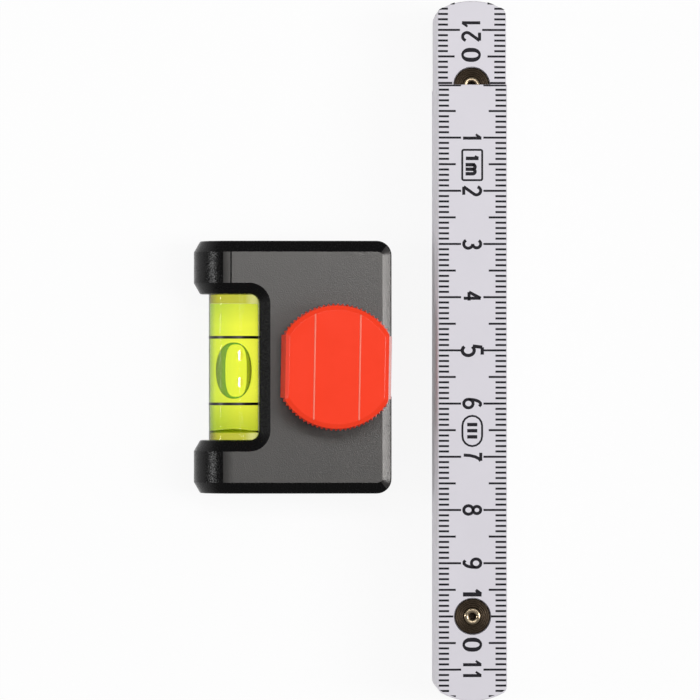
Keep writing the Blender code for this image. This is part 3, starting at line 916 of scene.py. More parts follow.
def flatten_right_chamfer(shape):
    """Makes the front chamfer on the right flatter and narrower, fading out round the two corners."""
    lift = CHAMFER_DEPTH - RIGHT_CHAMFER_DEPTH
    corner_start = LEVEL_WIDTH - LEVEL_CORNER
    for point in shape.verts:
        past = point.co.x - corner_start
        if past <= 0:
            continue
        if abs(point.co.z - LEVEL_THICKNESS) < WELD:
            point.co.x += RIGHT_CHAMFER_NARROWING * past / (LEVEL_CORNER - CHAMFER_LENGTH)
        elif abs(point.co.z - (LEVEL_THICKNESS - CHAMFER_DEPTH)) < WELD:
            point.co.z += lift * (past / LEVEL_CORNER) ** 2


def steepen_window_chamfer(shape):
    """Lowers the inner edge of the chamfer along the vial, fading out round the two window corners."""
    corner_start = WINDOW_DEPTH - WINDOW_CORNER
    for point in shape.verts:
        share = (point.co.x - corner_start) / WINDOW_CORNER
        on_inner_edge = abs(point.co.z - (LEVEL_THICKNESS - CHAMFER_DEPTH)) < WELD
        if on_inner_edge and 0 < share < 1 + WELD and abs(point.co.y) < WINDOW_LENGTH / 2 + WELD:
            point.co.z -= (WINDOW_CHAMFER_DEPTH - CHAMFER_DEPTH) * share**2


def level_blank():
    """The body before its cuts, with its left edge at x = 0 and its back at z = 0."""
    half = LEVEL_LENGTH / 2
    window = WINDOW_LENGTH / 2
    outer = [(BARREL_RADIUS, -half), (LEVEL_WIDTH, -half), (LEVEL_WIDTH, half), (BARREL_RADIUS, half)]
    upper_side = [(BARREL_RADIUS, window), (WINDOW_DEPTH, window)]
    lower_side = [(WINDOW_DEPTH, -window), (BARREL_RADIUS, -window)]
    inner = upper_side + lower_side
    shape = flat(outer + inner)
    outer_corners = shape.verts[1:3]
    window_corners = shape.verts[5:7]
    ease(shape, outer_corners, LEVEL_CORNER, CORNER_STEPS, affect="VERTICES")
    ease(shape, window_corners, WINDOW_CORNER, CORNER_STEPS, affect="VERTICES")
    stretch = CHAMFER_LENGTH / CHAMFER_DEPTH
    raise_up(shape, LEVEL_THICKNESS * stretch)
    ease(shape, [edge for edge in rim_edges(shape) if not on_barrel_side(edge)], CHAMFER_LENGTH, 1)
    bmesh.ops.scale(shape, verts=shape.verts[:], vec=(1, 1, 1 / stretch))
    flatten_right_chamfer(shape)
    steepen_window_chamfer(shape)
    middle = (BARREL_RADIUS, 0, LEVEL_THICKNESS / 2)
    everything = shape.verts[:] + shape.edges[:] + shape.faces[:]
    bmesh.ops.bisect_plane(shape, geom=everything, dist=WELD, plane_co=middle, plane_no=(0, 0, 1))
    open_faces = [face for face in shape.faces if on_barrel_side(face)]
    bmesh.ops.delete(shape, geom=open_faces, context="FACES")
    front_half = [
        edge
        for edge in shape.edges
        if edge.is_boundary and all(point.co.z > middle[2] - WELD for point in edge.verts)
    ]
    bmesh.ops.spin(shape, geom=front_half, cent=middle, axis=(0, -1, 0), angle=math.pi, steps=BARREL_STEPS)
    bmesh.ops.remove_doubles(shape, verts=shape.verts[:], dist=WELD)
    bmesh.ops.recalc_face_normals(shape, faces=shape.faces[:])
    sharp = [edge for edge in shape.edges if edge.calc_face_angle(0) > SHARP_FROM]
    ease(shape, sharp, BODY_EDGE, BODY_EDGE_STEPS)
    bmesh.ops.translate(shape, verts=shape.verts[:], vec=(level_low.x, LEVEL_Y, 0))
    return shape


# %% What is cut from the block
def slot_cutter():
    """The clamping slot, open on the +X side and at both ends."""
    left = level_high.x - SLOT_DEPTH
    right = level_high.x + CLEAR
    half = LEVEL_LENGTH / 2 + CLEAR
    corners = [(left, -half), (right, -half), (right, half), (left, half)]
    shape = flat([(x, LEVEL_Y + y) for x, y in corners])
    raise_up(shape, SLOT_HEIGHT)
    bmesh.ops.translate(shape, verts=shape.verts[:], vec=(0, 0, BACK_JAW))
    return shape


def notch_cutter():
    """The thumb notch in the front jaw, with its outer corners rounded off."""
    half = NOTCH_WIDTH / 2
    wide = half + 2 * NOTCH_CORNER
    out = NOTCH_CORNER + CLEAR
    near = [(-NOTCH_DEPTH, half), (-NOTCH_DEPTH, -half), (FLUSH, -half), (FLUSH, -wide)]
    far = [(out, -wide), (out, wide), (FLUSH, wide), (FLUSH, half)]
    shape = flat([(level_high.x + x, LEVEL_Y + y) for x, y in near + far])
    rounded = [shape.verts[index] for index in (0, 1, 2, 7)]
    ease(shape, rounded, NOTCH_CORNER, CORNER_STEPS, affect="VERTICES")
    low = SLOT_TOP - SLOT_HEIGHT / 2
    raise_up(shape, LEVEL_THICKNESS + CLEAR - low)
    bmesh.ops.translate(shape, verts=shape.verts[:], vec=(0, 0, low))
    return shape


VIAL_SHIFT = 0.1 * MM
VIAL_AXIS = Vector((level_low.x + BARREL_RADIUS + VIAL_SHIFT, LEVEL_Y, BARREL_RADIUS))
LAID_ON_VIAL = Matrix.Translation(VIAL_AXIS) @ Matrix.Rotation(-math.pi / 2, 4, "X")


def on_vial(profile, steps=ROUND_STEPS):
    """Spins a profile and lays it along the vial. Its heights become places along +Y."""
    shape = turned(profile, steps)
    bmesh.ops.transform(shape, matrix=LAID_ON_VIAL, verts=shape.verts[:])
    return shape


def vial_bore_cutter():
    """The bore that takes the vial: open at the +Y end, blind at the other."""
    out = LEVEL_LENGTH / 2 + CLEAR
    return on_vial([(0, -VIAL_BORE_END), (VIAL_BORE, -VIAL_BORE_END), (VIAL_BORE, out), (0, out)])


def clamp_hole_cutter():
    """A stepped hole in the front jaw: pad pocket, insert seat and the lip over it."""
    lip = LEVEL_THICKNESS - INSERT_LIP
    pocket = SLOT_TOP + PAD_POCKET_DEPTH
    profile = [
        (0, LEVEL_THICKNESS + CLEAR),
        (SCREW_HOLE, LEVEL_THICKNESS + CLEAR),
        (SCREW_HOLE, lip),
        (INSERT_SEAT, lip),
        (INSERT_SEAT, pocket),
        (PAD_POCKET, pocket),
        (PAD_POCKET, SLOT_TOP - CLEAR),
        (0, SLOT_TOP - CLEAR),
    ]
    return turned(profile, ROUND_STEPS, (CLAMP_X, LEVEL_Y, 0))


SEAM_X = -22.4 * MM
SEAM_WIDTH = 0.3 * MM


def seam_cutter():
    """A square bar on its edge, for the fine line that the mould's slide leaves across the +Y lobe."""
    shape = bmesh.new()
    near = LEVEL_Y + WINDOW_LENGTH / 2 + CHAMFER_LENGTH
    far = LEVEL_Y + LEVEL_LENGTH / 2 - CHAMFER_LENGTH
    centre = Matrix.Translation((SEAM_X, (near + far) / 2, LEVEL_THICKNESS))
    on_edge = Matrix.Rotation(math.pi / 4, 4, "Y")
    side = SEAM_WIDTH / math.sqrt(2)
    stretched = Matrix.Diagonal((side, far - near, side, 1))
    bmesh.ops.create_cube(shape, size=1, matrix=centre @ on_edge @ stretched)
    return shape


cuts = [slot_cutter(), notch_cutter(), vial_bore_cutter(), clamp_hole_cutter(), seam_cutter()]
carved = carve(level_blank(), cutters=cuts)
housing = finished(
    "level_housing", carved, black_plastic, "level", "black_plastic", "level_body", crisp=BODY_CRISP
)

# %% Which faces are satin and which are coarse
LEVEL_FACE = 0.97
RIGHT_FACE = 0.9
UPRIGHT_FACE = 0.3


def is_satin(face):
    """The flat front and back, the right chamfer and the walls round the vial."""
    level_face = abs(face.normal.z) > LEVEL_FACE
    right_chamfer = face.normal.z > RIGHT_FACE and face.normal.x > 0
    upright = abs(face.normal.z) < UPRIGHT_FACE
    in_window = (
        abs(face.center.y - LEVEL_Y) < WINDOW_LENGTH / 2 + WELD
        and face.center.x < level_low.x + WINDOW_DEPTH + WELD
    )
    return level_face or right_chamfer or (upright and in_window)


housing.data.materials.append(coarse_black)
for face in housing.data.polygons:
    face.material_index = 0 if is_satin(face) else 1
satin = sum(face.material_index == 0 for face in housing.data.polygons)
print("level housing:", len(housing.data.polygons), "faces,", satin, "of them satin")

# %% [markdown]
# ## The vial
# Light enters the clear acrylic, crosses the yellow-green liquid and leaves below towards the white
# table, which is why a vial seems to glow. Where the liquid wets the acrylic there is one optical
# surface only, so the acrylic is drawn solid and the liquid inside it carries that surface. The
# bubble is a thin lens of air: an egg pressed flat and bent over the roof of the barrel-shaped bore.


# %% Clear materials
def clear(name, colour, roughness, ior, smear, reflection=1.0):
    """A see-through material with faint smears in its gloss."""
    made = bpy.data.materials.new(name)
    made.use_nodes = True
    tree = made.node_tree
    shader = tree.nodes["Principled BSDF"]
    surface = tree.nodes.new("ShaderNodeGroup")
    surface.node_tree = moulded_surface
    surface.inputs["Colour"].default_value = (*colour, 1)
    surface.inputs["Variation"].default_value = smear
    surface.inputs["Roughness"].default_value = roughness
    surface.inputs["Roughness Spread"].default_value = roughness / 2
    surface.inputs["Grain Size"].default_value = MM
    tree.links.new(surface.outputs["Colour"], shader.inputs["Base Color"])
    tree.links.new(surface.outputs["Roughness"], shader.inputs["Roughness"])
    shader.inputs["Transmission Weight"].default_value = 1.0
    shader.inputs["IOR"].default_value = ior
    shader.inputs["Specular Tint"].default_value = (reflection, reflection, reflection, 1)
    return made


VIAL_TINT = "vial_tint"


def tinted(name, roughness, ior, smear, reflection=1.0):
    """A see-through material whose colour the points of its mesh carry."""
    made = clear(name, (1, 1, 1), roughness, ior, smear, reflection)
    tree = made.node_tree
    tint = node(tree, "ShaderNodeAttribute", {"attribute_name": VIAL_TINT}).outputs["Color"]
    surface = next(each for each in tree.nodes if each.type == "GROUP")
    tree.links.new(tint, surface.inputs["Colour"])
    return made


def tint_at(tints, place):
    """The colour at a place, between the two rows of a table that it lies between."""
    for (start, first), (end, second) in zip(tints, tints[1:]):
        if place <= end:
            share = max(0, (place - start) / (end - start))
            return Vector(first).lerp(Vector(second), share)
    return Vector(tints[-1][1])


clear_acrylic = clear("clear_acrylic", (0.99, 1.0, 0.88), 0.02, 1.49, 0.01, reflection=0.05)
bubble_air = clear("bubble_air", (0.97, 1.0, 0.9), 0.01, 1.12, 0.01)
vial_yellow = tinted("vial_yellow", 0.02, 1.03, 0.02)
# The amber of the stopper and of the bore's blind end is a painted reflection of the liquid's colour in the
# clear ends of the vial.
amber_painted_reflection = tinted("amber_painted_reflection", 0.06, 1.04, 0.05)
reading_black = moulded(
    "reading_black",
    colour=(0.008, 0.008, 0.008),
    roughness=0.4,
    variation=0.2,
    spread=0.05,
    grain=0.1 * MM,
    depth=0.002 * MM,
)

# %% Acrylic, liquid and plug
VIAL_RADIUS = 4.75 * MM
VIAL_LENGTH = 41 * MM
VIAL_EDGE = 0.5 * MM
LIQUID_RADIUS = 3.95 * MM
LIQUID_END_RADIUS = 3.88 * MM
LIQUID_LENGTH = 24.2 * MM
LIQUID_FLOOR = 12.5 * MM
LIQUID_DOME = 1.0 * MM
DOME_POINTS = 6
PLUG_RADIUS = 3.6 * MM
PLUG_GAP = 0.03 * MM
BARREL_POINTS = 24
VIAL_STEPS = 96

# Millimetres along the vial, from its -Y end, and across it, from its left side
LIQUID_YELLOW = Vector((0.95, 1.0, 0.085))
# Painted shade: the liquid darkens towards both ends, where the black body closes round the vial.
LIQUID_ALONG_SHADE = (
    (-12.6, (0.56, 0.63, 0.5)),
    (-5.4, (1, 1, 1)),
    (8, (1, 1, 1)),
    (12.1, (0.75, 0.82, 0.9)),
)
# Painted shade: darker and greener towards the left side, a little warmer towards the right.
LIQUID_ACROSS_SHADE = (
    (-3.9, (0.2, 0.36, 1.0)),
    (-3.2, (0.7, 0.84, 1.15)),
    (0.5, (1, 1, 1)),
    (3.9, (0.97, 0.92, 0.9)),
)
# Painted shade at the left side of the amber ends, and a painted highlight, near white, at their right side.
AMBER_SHADE_AND_HIGHLIGHT = (
    (-3.7, (0.12, 0.11, 0.05)),
    (-2.6, (0.56, 0.55, 0.06)),
    (2.0, (0.6, 0.6, 0.08)),
    (3.2, (0.9, 0.9, 1.0)),
)


def liquid_tint(along, across):
    return LIQUID_YELLOW * tint_at(LIQUID_ALONG_SHADE, along) * tint_at(LIQUID_ACROSS_SHADE, across)


def amber_tint(_along, across):
    return tint_at(AMBER_SHADE_AND_HIGHLIGHT, across)


def tint_vial(shape, tint):
    """Every point of a piece of the vial carries the colour for its place along and across."""
    layer = shape.verts.layers.float_color.new(VIAL_TINT)
    for point in shape.verts:
        place = (point.co - VIAL_AXIS) / MM
        point[layer] = (*tint(place.y, place.x), 1)


def acrylic_profile():
    """A solid rod with eased ends."""
    half = VIAL_LENGTH / 2
    inner = VIAL_RADIUS - VIAL_EDGE
    low = arc(inner, VIAL_EDGE - half, VIAL_EDGE, -90, 0, EDGE_STEPS)
    high = arc(inner, half - VIAL_EDGE, VIAL_EDGE, 0, 90, EDGE_STEPS)
    return [(0, -half), *low, *high, (0, half)]


def barrel_radius(along):
    """The bore swells slightly towards its middle, so that the bubble comes to rest there."""
    share = 2 * along / LIQUID_LENGTH
    return LIQUID_RADIUS - (LIQUID_RADIUS - LIQUID_END_RADIUS) * share**2


def dome_profile(height):
    """The domed floor of the bore, from the axis out to the wall."""
    shares = [step / DOME_POINTS for step in range(DOME_POINTS + 1)]
    return [(LIQUID_END_RADIUS * share, height + LIQUID_DOME * (1 - share**2)) for share in shares]


def liquid_profile():
    """The barrel of liquid over the domed floor of the bore."""
    half = LIQUID_LENGTH / 2
    places = [half * (2 * step / BARREL_POINTS - 1) for step in range(1, BARREL_POINTS + 1)]
    side = [(barrel_radius(along), along) for along in places]
    return [*dome_profile(-LIQUID_FLOOR), *side, (0, half)]


plug_start = LIQUID_LENGTH / 2 + PLUG_GAP
plug_end = VIAL_LENGTH / 2 - PLUG_GAP
plug_profile = [(0, plug_start), (PLUG_RADIUS, plug_start), (PLUG_RADIUS, plug_end), (0, plug_end)]
# The floor piece fills the blind end of the bore only to carry that painted reflection.
dome = dome_profile(-LIQUID_FLOOR - PLUG_GAP)
floor_profile = [*dome, (LIQUID_END_RADIUS, -plug_end), (0, -plug_end)]
for name, profile, look, tint, slot, nodes in (
    ("vial_acrylic", acrylic_profile(), clear_acrylic, None, "clear_acrylic", ["vial_tube"]),
    ("vial_filling", liquid_profile(), vial_yellow, liquid_tint, "vial_liquid", ["vial_liquid"]),
    ("vial_stopper", plug_profile, amber_painted_reflection, amber_tint, "clear_acrylic", ["vial_plug"]),
    ("vial_floor", floor_profile, amber_painted_reflection, amber_tint, "clear_acrylic", []),
):
    shape = on_vial(profile, VIAL_STEPS)
    if tint:
        tint_vial(shape, tint)
    finished(name, shape, look, "level", slot, *nodes)

# %% Reading rings and the cap that closes the bore
RING_SPACING = 12.7 * MM
RING_WIDTH = 0.5 * MM
RING_THICK = 0.13 * MM
READING_SHIFT = -0.65 * MM
RING_PROUD = 0.02 * MM
CAP_START = 20.8 * MM
CAP_END = 23.9 * MM
CAP_EDGE = 0.4 * MM
CAP_DIMPLE = 0.5 * MM

for name, side in (("vial_ring_lower", -1), ("vial_ring_upper", 1)):
    middle = READING_SHIFT + side * RING_SPACING / 2
    low = middle - RING_WIDTH / 2
    high = middle + RING_WIDTH / 2
    outside = VIAL_RADIUS + RING_PROUD
    profile = [(outside, low), (outside, high), (outside - RING_THICK, high), (outside - RING_THICK, low)]
    ring = on_vial(profile, VIAL_STEPS)
    finished(f"painted_{name}", ring, reading_black, "level", "ring_black", name)

cap_rim = arc(VIAL_RADIUS - CAP_EDGE, CAP_END - CAP_EDGE, CAP_EDGE, 0, 90, EDGE_STEPS)
dimple_edge = VIAL_RADIUS / 2
cap_profile = [
    (0, CAP_START),
    (VIAL_RADIUS, CAP_START),
    *cap_rim,
    (dimple_edge + CAP_DIMPLE, CAP_END),
    (dimple_edge, CAP_END - CAP_DIMPLE),
    (0, CAP_END - CAP_DIMPLE),
]
finished("bore_cap", on_vial(cap_profile), black_plastic, "level", "black_plastic", "vial_end_cap")

# %% The bubble
BUBBLE_HALF_WIDTH = 3.1 * MM
BUBBLE_HALF_LENGTH = 5.34 * MM
BUBBLE_DEPTH = 2.1 * MM
BUBBLE_FILM = 0.12 * MM
BUBBLE_STEPS = 48


def bubble_shape():
    """An egg laid under the roof of the bore: every point drops as far as the round roof does."""
    shape = bmesh.new()
    bmesh.ops.create_uvsphere(shape, u_segments=BUBBLE_STEPS, v_segments=BUBBLE_STEPS // 2, radius=1)
    half_depth = BUBBLE_DEPTH / 2
    bmesh.ops.scale(shape, verts=shape.verts[:], vec=(BUBBLE_HALF_WIDTH, BUBBLE_HALF_LENGTH, half_depth))
    for point in shape.verts:
        roof = barrel_radius(READING_SHIFT + point.co.y) - BUBBLE_FILM
        point.co.z += math.sqrt(roof**2 - point.co.x**2) - half_depth
    bmesh.ops.translate(shape, verts=shape.verts[:], vec=VIAL_AXIS + Vector((0, READING_SHIFT, 0)))
    return shape


bubble = finished("bubble_lens", bubble_shape(), bubble_air, "bubble", "air", "air_bubble")
print("bubble points:", len(bubble.data.vertices))

# %% [markdown]
# The steep rim of a bubble bends light aside, so it looks dark against the glowing liquid: deep green
# on the shaded left, olive on the right. That darkness is painted shade: a thin tinted sheet between
# nearly oval loops carries it on its points. Two small patches of film on the wall of the tube mirror the
# lamp.

# %% The painted shade of the bubble's rim and the film over it
SKIN_SHEET = 0.04 * MM
RIM_RISE = -0.08 * MM
FILM_RISE = 0.1 * MM
FILM_SHIFT = 1.1 * MM
FILM_HALF_WIDTH = 0.6 * MM
FILM_HALF_LENGTH = 1.0 * MM
FILM_STEPS = 12
FILM_PLACES = (("bubble_film_upper", 2.9 * MM), ("bubble_film_lower", -2.2 * MM))

# Half width, half length, shift to the right and squareness of each loop
RIM_OUTER = (BUBBLE_HALF_WIDTH, BUBBLE_HALF_LENGTH, 0, 2.3)
RIM_LINE = (2.95 * MM, 5.18 * MM, 0, 2.3)
RIM_INNER = (1.89 * MM, 4.96 * MM, 0.39 * MM, 3.0)

# Tints of painted shade, from the left side, -1, to the right side, 1
DARK_TINTS = (
    (-1, (0.2, 0.24, 0.6)),
    (-0.2, (0.13, 0.4, 0.45)),
    (0.3, (0.12, 0.42, 0.4)),
    (1, (0.18, 0.17, 0.1)),
)
MID_TINTS = (
    (-1, (0.34, 0.38, 1.0)),
    (-0.2, (0.2, 0.46, 0.6)),
    (0.3, (0.2, 0.5, 0.4)),
    (1, (0.22, 0.21, 0.1)),
)
PALE_TINTS = (
    (-1, (0.26, 0.38, 0.9)),
    (-0.2, (0.28, 0.5, 0.5)),
    (0.3, (0.4, 0.6, 0.4)),
    (1, (0.42, 0.38, 0.12)),
)

painted_rim_shade = tinted("painted_rim_shade", 0.01, 1.0, 0.01, reflection=0.0)
bubble_film = clear("bubble_film", (1.0, 1.0, 0.95), 0.04, 1.8, 0.01)


def squared(value, squareness):
    return math.copysign(abs(value) ** (2 / squareness), value)


def oval_loop(shape, wide, long, shift, squareness):
    """A closed loop of points between an ellipse and a rectangle."""
    points = bmesh.ops.create_circle(shape, segments=2 * BUBBLE_STEPS, radius=1)["verts"]
    for point in points:
        point.co.x = shift + wide * squared(point.co.x, squareness)
        point.co.y = long * squared(point.co.y, squareness)
    return points


def along_roof(shape, rise):
    """Gives a flat sheet a thickness and bends it along the roof of the bore, at the bubble's place."""
    bmesh.ops.recalc_face_normals(shape, faces=shape.faces[:])
    bmesh.ops.solidify(shape, geom=shape.faces[:], thickness=SKIN_SHEET)
    for point in shape.verts:
        roof = barrel_radius(READING_SHIFT + point.co.y) + rise
        point.co.z += math.sqrt(roof**2 - point.co.x**2)
    bmesh.ops.translate(shape, verts=shape.verts[:], vec=VIAL_AXIS + Vector((0, READING_SHIFT, 0)))
    return shape


def rim_shape():
    """Two flat rings between three loops. Each point carries its tint of painted shade."""
    shape = bmesh.new()
    layer = shape.verts.layers.float_color.new(VIAL_TINT)
    loops = []
    for outline, tints in ((RIM_OUTER, DARK_TINTS), (RIM_LINE, MID_TINTS), (RIM_INNER, PALE_TINTS)):
        loops.append(oval_loop(shape, *outline))
        for point in loops[-1]:
            point[layer] = (*tint_at(tints, point.co.x / BUBBLE_HALF_WIDTH), 1)
    for pair in zip(loops, loops[1:]):
        facing = [edge for loop in pair for edge in shape.edges if set(edge.verts) <= set(loop)]
        bmesh.ops.bridge_loops(shape, edges=facing)
    return along_roof(shape, RIM_RISE)


def film_shape(along):
    """A small oval sheet: a grid drawn in, row by row."""
    shape = bmesh.new()
    bmesh.ops.create_grid(shape, x_segments=FILM_STEPS, y_segments=FILM_STEPS, size=1)
    for point in shape.verts:
        reach = math.sqrt(max(0, 1 - point.co.y**2))
        point.co.x = FILM_SHIFT + FILM_HALF_WIDTH * reach * point.co.x
        point.co.y = along + FILM_HALF_LENGTH * point.co.y
    bmesh.ops.remove_doubles(shape, verts=shape.verts[:], dist=WELD)
    return along_roof(shape, FILM_RISE)


finished("bubble_edge", rim_shape(), painted_rim_shade, "bubble", "air")
for name, along in FILM_PLACES:
    finished(name, film_shape(along), bubble_film, "bubble", "air")

# %% [markdown]
# ## The clamp
# A red knob turns a steel screw in a brass insert, and a swivelling pad under the screw presses on
# the rule. The knob is a round cut by two flats, knurled on its round sides. Its outline is drawn
# tooth by tooth and raised in steps, so the leaning sides and the bevel round its top are real
# faces that catch the light. The thread is one tooth swept along a helix.

# %% Red plastic, zinc-plated steel, brass and rubber
red_plastic = moulded(
    "red_plastic",
    colour=(1.0, 0.05, 0.014),
    roughness=0.2,
    variation=0.04,
    spread=0.05,
    grain=0.4 * MM,
    depth=0.003 * MM,
    Specular_IOR_Level=0.35,
)
# The beads' paler red is a painted highlight along the two fine ribs.
bead_painted_highlight = moulded(
    "bead_painted_highlight",
    colour=(0.95, 0.19, 0.12),
    roughness=0.3,
    variation=0.08,
    spread=0.05,
    grain=0.4 * MM,
    depth=0.003 * MM,
    Specular_IOR_Level=0.35,
)
zinc_steel = moulded(
    "zinc_steel",
    colour=(0.62, 0.62, 0.6),
    roughness=0.3,
    variation=0.12,
    spread=0.1,
    grain=0.2 * MM,
    depth=0.004 * MM,
    Metallic=1.0,
)
insert_brass = moulded(
    "insert_brass",
    colour=(0.72, 0.5, 0.2),
    roughness=0.32,
    variation=0.12,
    spread=0.1,
    grain=0.2 * MM,
    depth=0.004 * MM,
    Metallic=1.0,
)
pad_rubber = moulded(
    "pad_rubber",
    colour=(0.03, 0.03, 0.03),
    roughness=0.7,
    variation=0.2,
    spread=0.1,
    grain=0.25 * MM,
    depth=0.012 * MM,
)

# %% The knob
KNOB_RADIUS = 12 * MM
KNOB_FLATS = 20.9 * MM
KNOB_TOP_FLATS = 19.4 * MM
KNOB_BEVEL = 0.9 * MM
KNOB_BEVEL_HEIGHT = 0.6 * MM
KNOB_TEETH = 28
KNOB_TOOTH_DEPTH = 0.4 * MM
KNOB_CAP_RADIUS = 11.55 * MM
KNOB_LEDGE = 1.1 * MM
KNOB_EDGE = 0.08 * MM
KNOB_ARC_BEVEL = 0.85 * MM
KNOB_REST_TURN = Matrix.Rotation(math.radians(-1), 4, "Z")
BEAD_PLACES = (("knob_bead_left", -4.25 * MM), ("knob_bead_right", 4.25 * MM))
BEAD_HALF_LENGTH = 10 * MM
BEAD_RADIUS = 0.17 * MM
BEAD_STEPS = 16
HEAD_FLATS = 10 * MM
HEAD_HEIGHT = 4 * MM
HEAD_GAP = 0.1 * MM


def knob_outline():
    """Two arcs of V-shaped teeth, joined by two flats."""
    flat_angle = math.acos(KNOB_FLATS / 2 / KNOB_RADIUS)
    steps = 2 * KNOB_TEETH
    points = []
    for half_turn in (0, math.pi):
        for step in range(steps + 1):
            angle = half_turn + flat_angle + (math.pi - 2 * flat_angle) * step / steps
            radius = KNOB_RADIUS - (KNOB_TOOTH_DEPTH if step % 2 else 0)
            points.append((radius * math.cos(angle), radius * math.sin(angle)))
    return points


def hexagon(flats, low, high):
    """A hexagonal prism between two heights."""
    shape = bmesh.new()
    bmesh.ops.create_circle(shape, cap_ends=True, segments=6, radius=flats / math.sqrt(3))
    raise_up(shape, high - low)
    bmesh.ops.translate(shape, verts=shape.verts[:], vec=(CLAMP_X, LEVEL_Y, low))
    return shape


def knob_shape():
    """Leaning flats and a knurl that ends under a smooth, bevelled cap."""
    height = knob_high.z - knob_low.z
    shape = flat(knob_outline())
    rim = raise_up(shape, height - KNOB_BEVEL_HEIGHT - KNOB_LEDGE)
    for point in rim:
        point.co.x = max(-KNOB_TOP_FLATS / 2, min(KNOB_TOP_FLATS / 2, point.co.x))
    for point in raise_up(shape, KNOB_LEDGE):
        point.co.xy *= min(1, KNOB_CAP_RADIUS / point.co.xy.length)
    crown = raise_up(shape, KNOB_BEVEL_HEIGHT)
    shrink_x = 1 - KNOB_BEVEL / KNOB_RADIUS
    shrink_y = 1 - KNOB_ARC_BEVEL / KNOB_RADIUS
    bmesh.ops.scale(shape, verts=crown, vec=(shrink_x, shrink_y, 1))
    top_edges = [edge for edge in rim_edges(shape) if edge.verts[0].co.z > height / 2]
    ease(shape, top_edges, KNOB_EDGE, EDGE_STEPS)
    place = Matrix.Translation((CLAMP_X, LEVEL_Y, knob_low.z)) @ KNOB_REST_TURN
    bmesh.ops.transform(shape, matrix=place, verts=shape.verts[:])
    return shape


def bead(x):
    """A fine moulded rib, half sunk in the knob's top."""
    profile = [(0, -BEAD_HALF_LENGTH), (BEAD_RADIUS, BEAD_RADIUS - BEAD_HALF_LENGTH)]
    profile += [(BEAD_RADIUS, BEAD_HALF_LENGTH - BEAD_RADIUS), (0, BEAD_HALF_LENGTH)]
    shape = turned(profile, BEAD_STEPS)
    laid = Matrix.Translation((x, 0, -BEAD_RADIUS / 4)) @ Matrix.Rotation(-math.pi / 2, 4, "X")
    place = Matrix.Translation((CLAMP_X, LEVEL_Y, knob_high.z)) @ KNOB_REST_TURN
    bmesh.ops.transform(shape, matrix=place @ laid, verts=shape.verts[:])
    return shape


head_pocket = hexagon(HEAD_FLATS + 2 * HEAD_GAP, knob_low.z - CLEAR, knob_low.z + HEAD_HEIGHT + HEAD_GAP)
knob = carve(knob_shape(), cutters=[head_pocket])
finished("red_knob", knob, red_plastic, "clamp_knob", "red_plastic", "clamp_knob")
for name, x in BEAD_PLACES:
    finished(name, bead(x), bead_painted_highlight, "clamp_knob", "red_plastic")

# %% The screw with its thread
SCREW_RADIUS = 3 * MM
THREAD_PITCH = 1 * MM
THREAD_DEPTH = 0.45 * MM
THREAD_STEPS = 24
PIN_RADIUS = 1.9 * MM
PIN_LENGTH = 1.1 * MM
PIN_OVERLAP = 0.3 * MM
HEAD_EDGE = 0.3 * MM

screw_low, screw_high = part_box("clamp_screw")
shank_low = screw_low.z + PIN_LENGTH
shank_high = knob_low.z + PIN_OVERLAP


def thread_shape():
    """One V tooth swept up a helix and cut square at both ends of the shank."""
    shape = bmesh.new()
    core = SCREW_RADIUS - THREAD_DEPTH
    turns = math.ceil((shank_high - shank_low) / THREAD_PITCH) + 3
    tooth = [(core, 0), (SCREW_RADIUS, THREAD_PITCH / 2), (core, THREAD_PITCH)]
    points = [shape.verts.new((radius, 0, height)) for radius, height in tooth]
    edges = [shape.edges.new(pair) for pair in zip(points, points[1:])]
    bmesh.ops.spin(
        shape,
        geom=points + edges,
        cent=(0, 0, 0),
        axis=(0, 0, 1),
        dvec=(0, 0, THREAD_PITCH / THREAD_STEPS),
        angle=math.tau * turns,
        steps=THREAD_STEPS * turns,
    )
    bmesh.ops.remove_doubles(shape, verts=shape.verts[:], dist=WELD)
    bmesh.ops.translate(shape, verts=shape.verts[:], vec=(CLAMP_X, LEVEL_Y, shank_low - 2 * THREAD_PITCH))
    for height, outward in ((shank_low, -1), (shank_high, 1)):
        everything = shape.verts[:] + shape.edges[:] + shape.faces[:]
        bmesh.ops.bisect_plane(
            shape,
            geom=everything,
            dist=WELD / 10,
            plane_co=(0, 0, height),
            plane_no=(0, 0, outward),
            clear_outer=True,
        )
        bmesh.ops.holes_fill(shape, edges=[edge for edge in shape.edges if edge.is_boundary])
    return shape


def joined(*shapes):
    """Several closed shapes as the parts of one mesh."""
    whole = bmesh.new()
    for shape in shapes:
        part = bpy.data.meshes.new("part")
        shape.to_mesh(part)
        shape.free()
        whole.from_mesh(part)
        bpy.data.meshes.remove(part)
    return whole


pin_top = shank_low + PIN_OVERLAP
pin_profile = [
    (0, screw_low.z),
    (PIN_RADIUS - PIN_OVERLAP, screw_low.z),
    (PIN_RADIUS, screw_low.z + PIN_OVERLAP),
    (PIN_RADIUS, pin_top),
    (0, pin_top),
]
screw_pin = turned(pin_profile, ROUND_STEPS, (CLAMP_X, LEVEL_Y, 0))
screw_head = hexagon(HEAD_FLATS, knob_low.z + HEAD_GAP, screw_high.z)
ease(screw_head, rim_edges(screw_head), HEAD_EDGE, EDGE_STEPS)
screw = joined(thread_shape(), screw_pin, screw_head)
screw_piece = finished("threaded_screw", screw, zinc_steel, "clamp_knob", "zinc_steel", "clamp_screw")
print("screw faces:", len(screw_piece.data.polygons))

# %% Finish of the remaining clamp pieces
for name, look in (
    ("thread_insert", insert_brass),
    ("pressure_pad", pad_rubber),
):
    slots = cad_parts[name].data.materials
    slots.clear()
    slots.append(look)

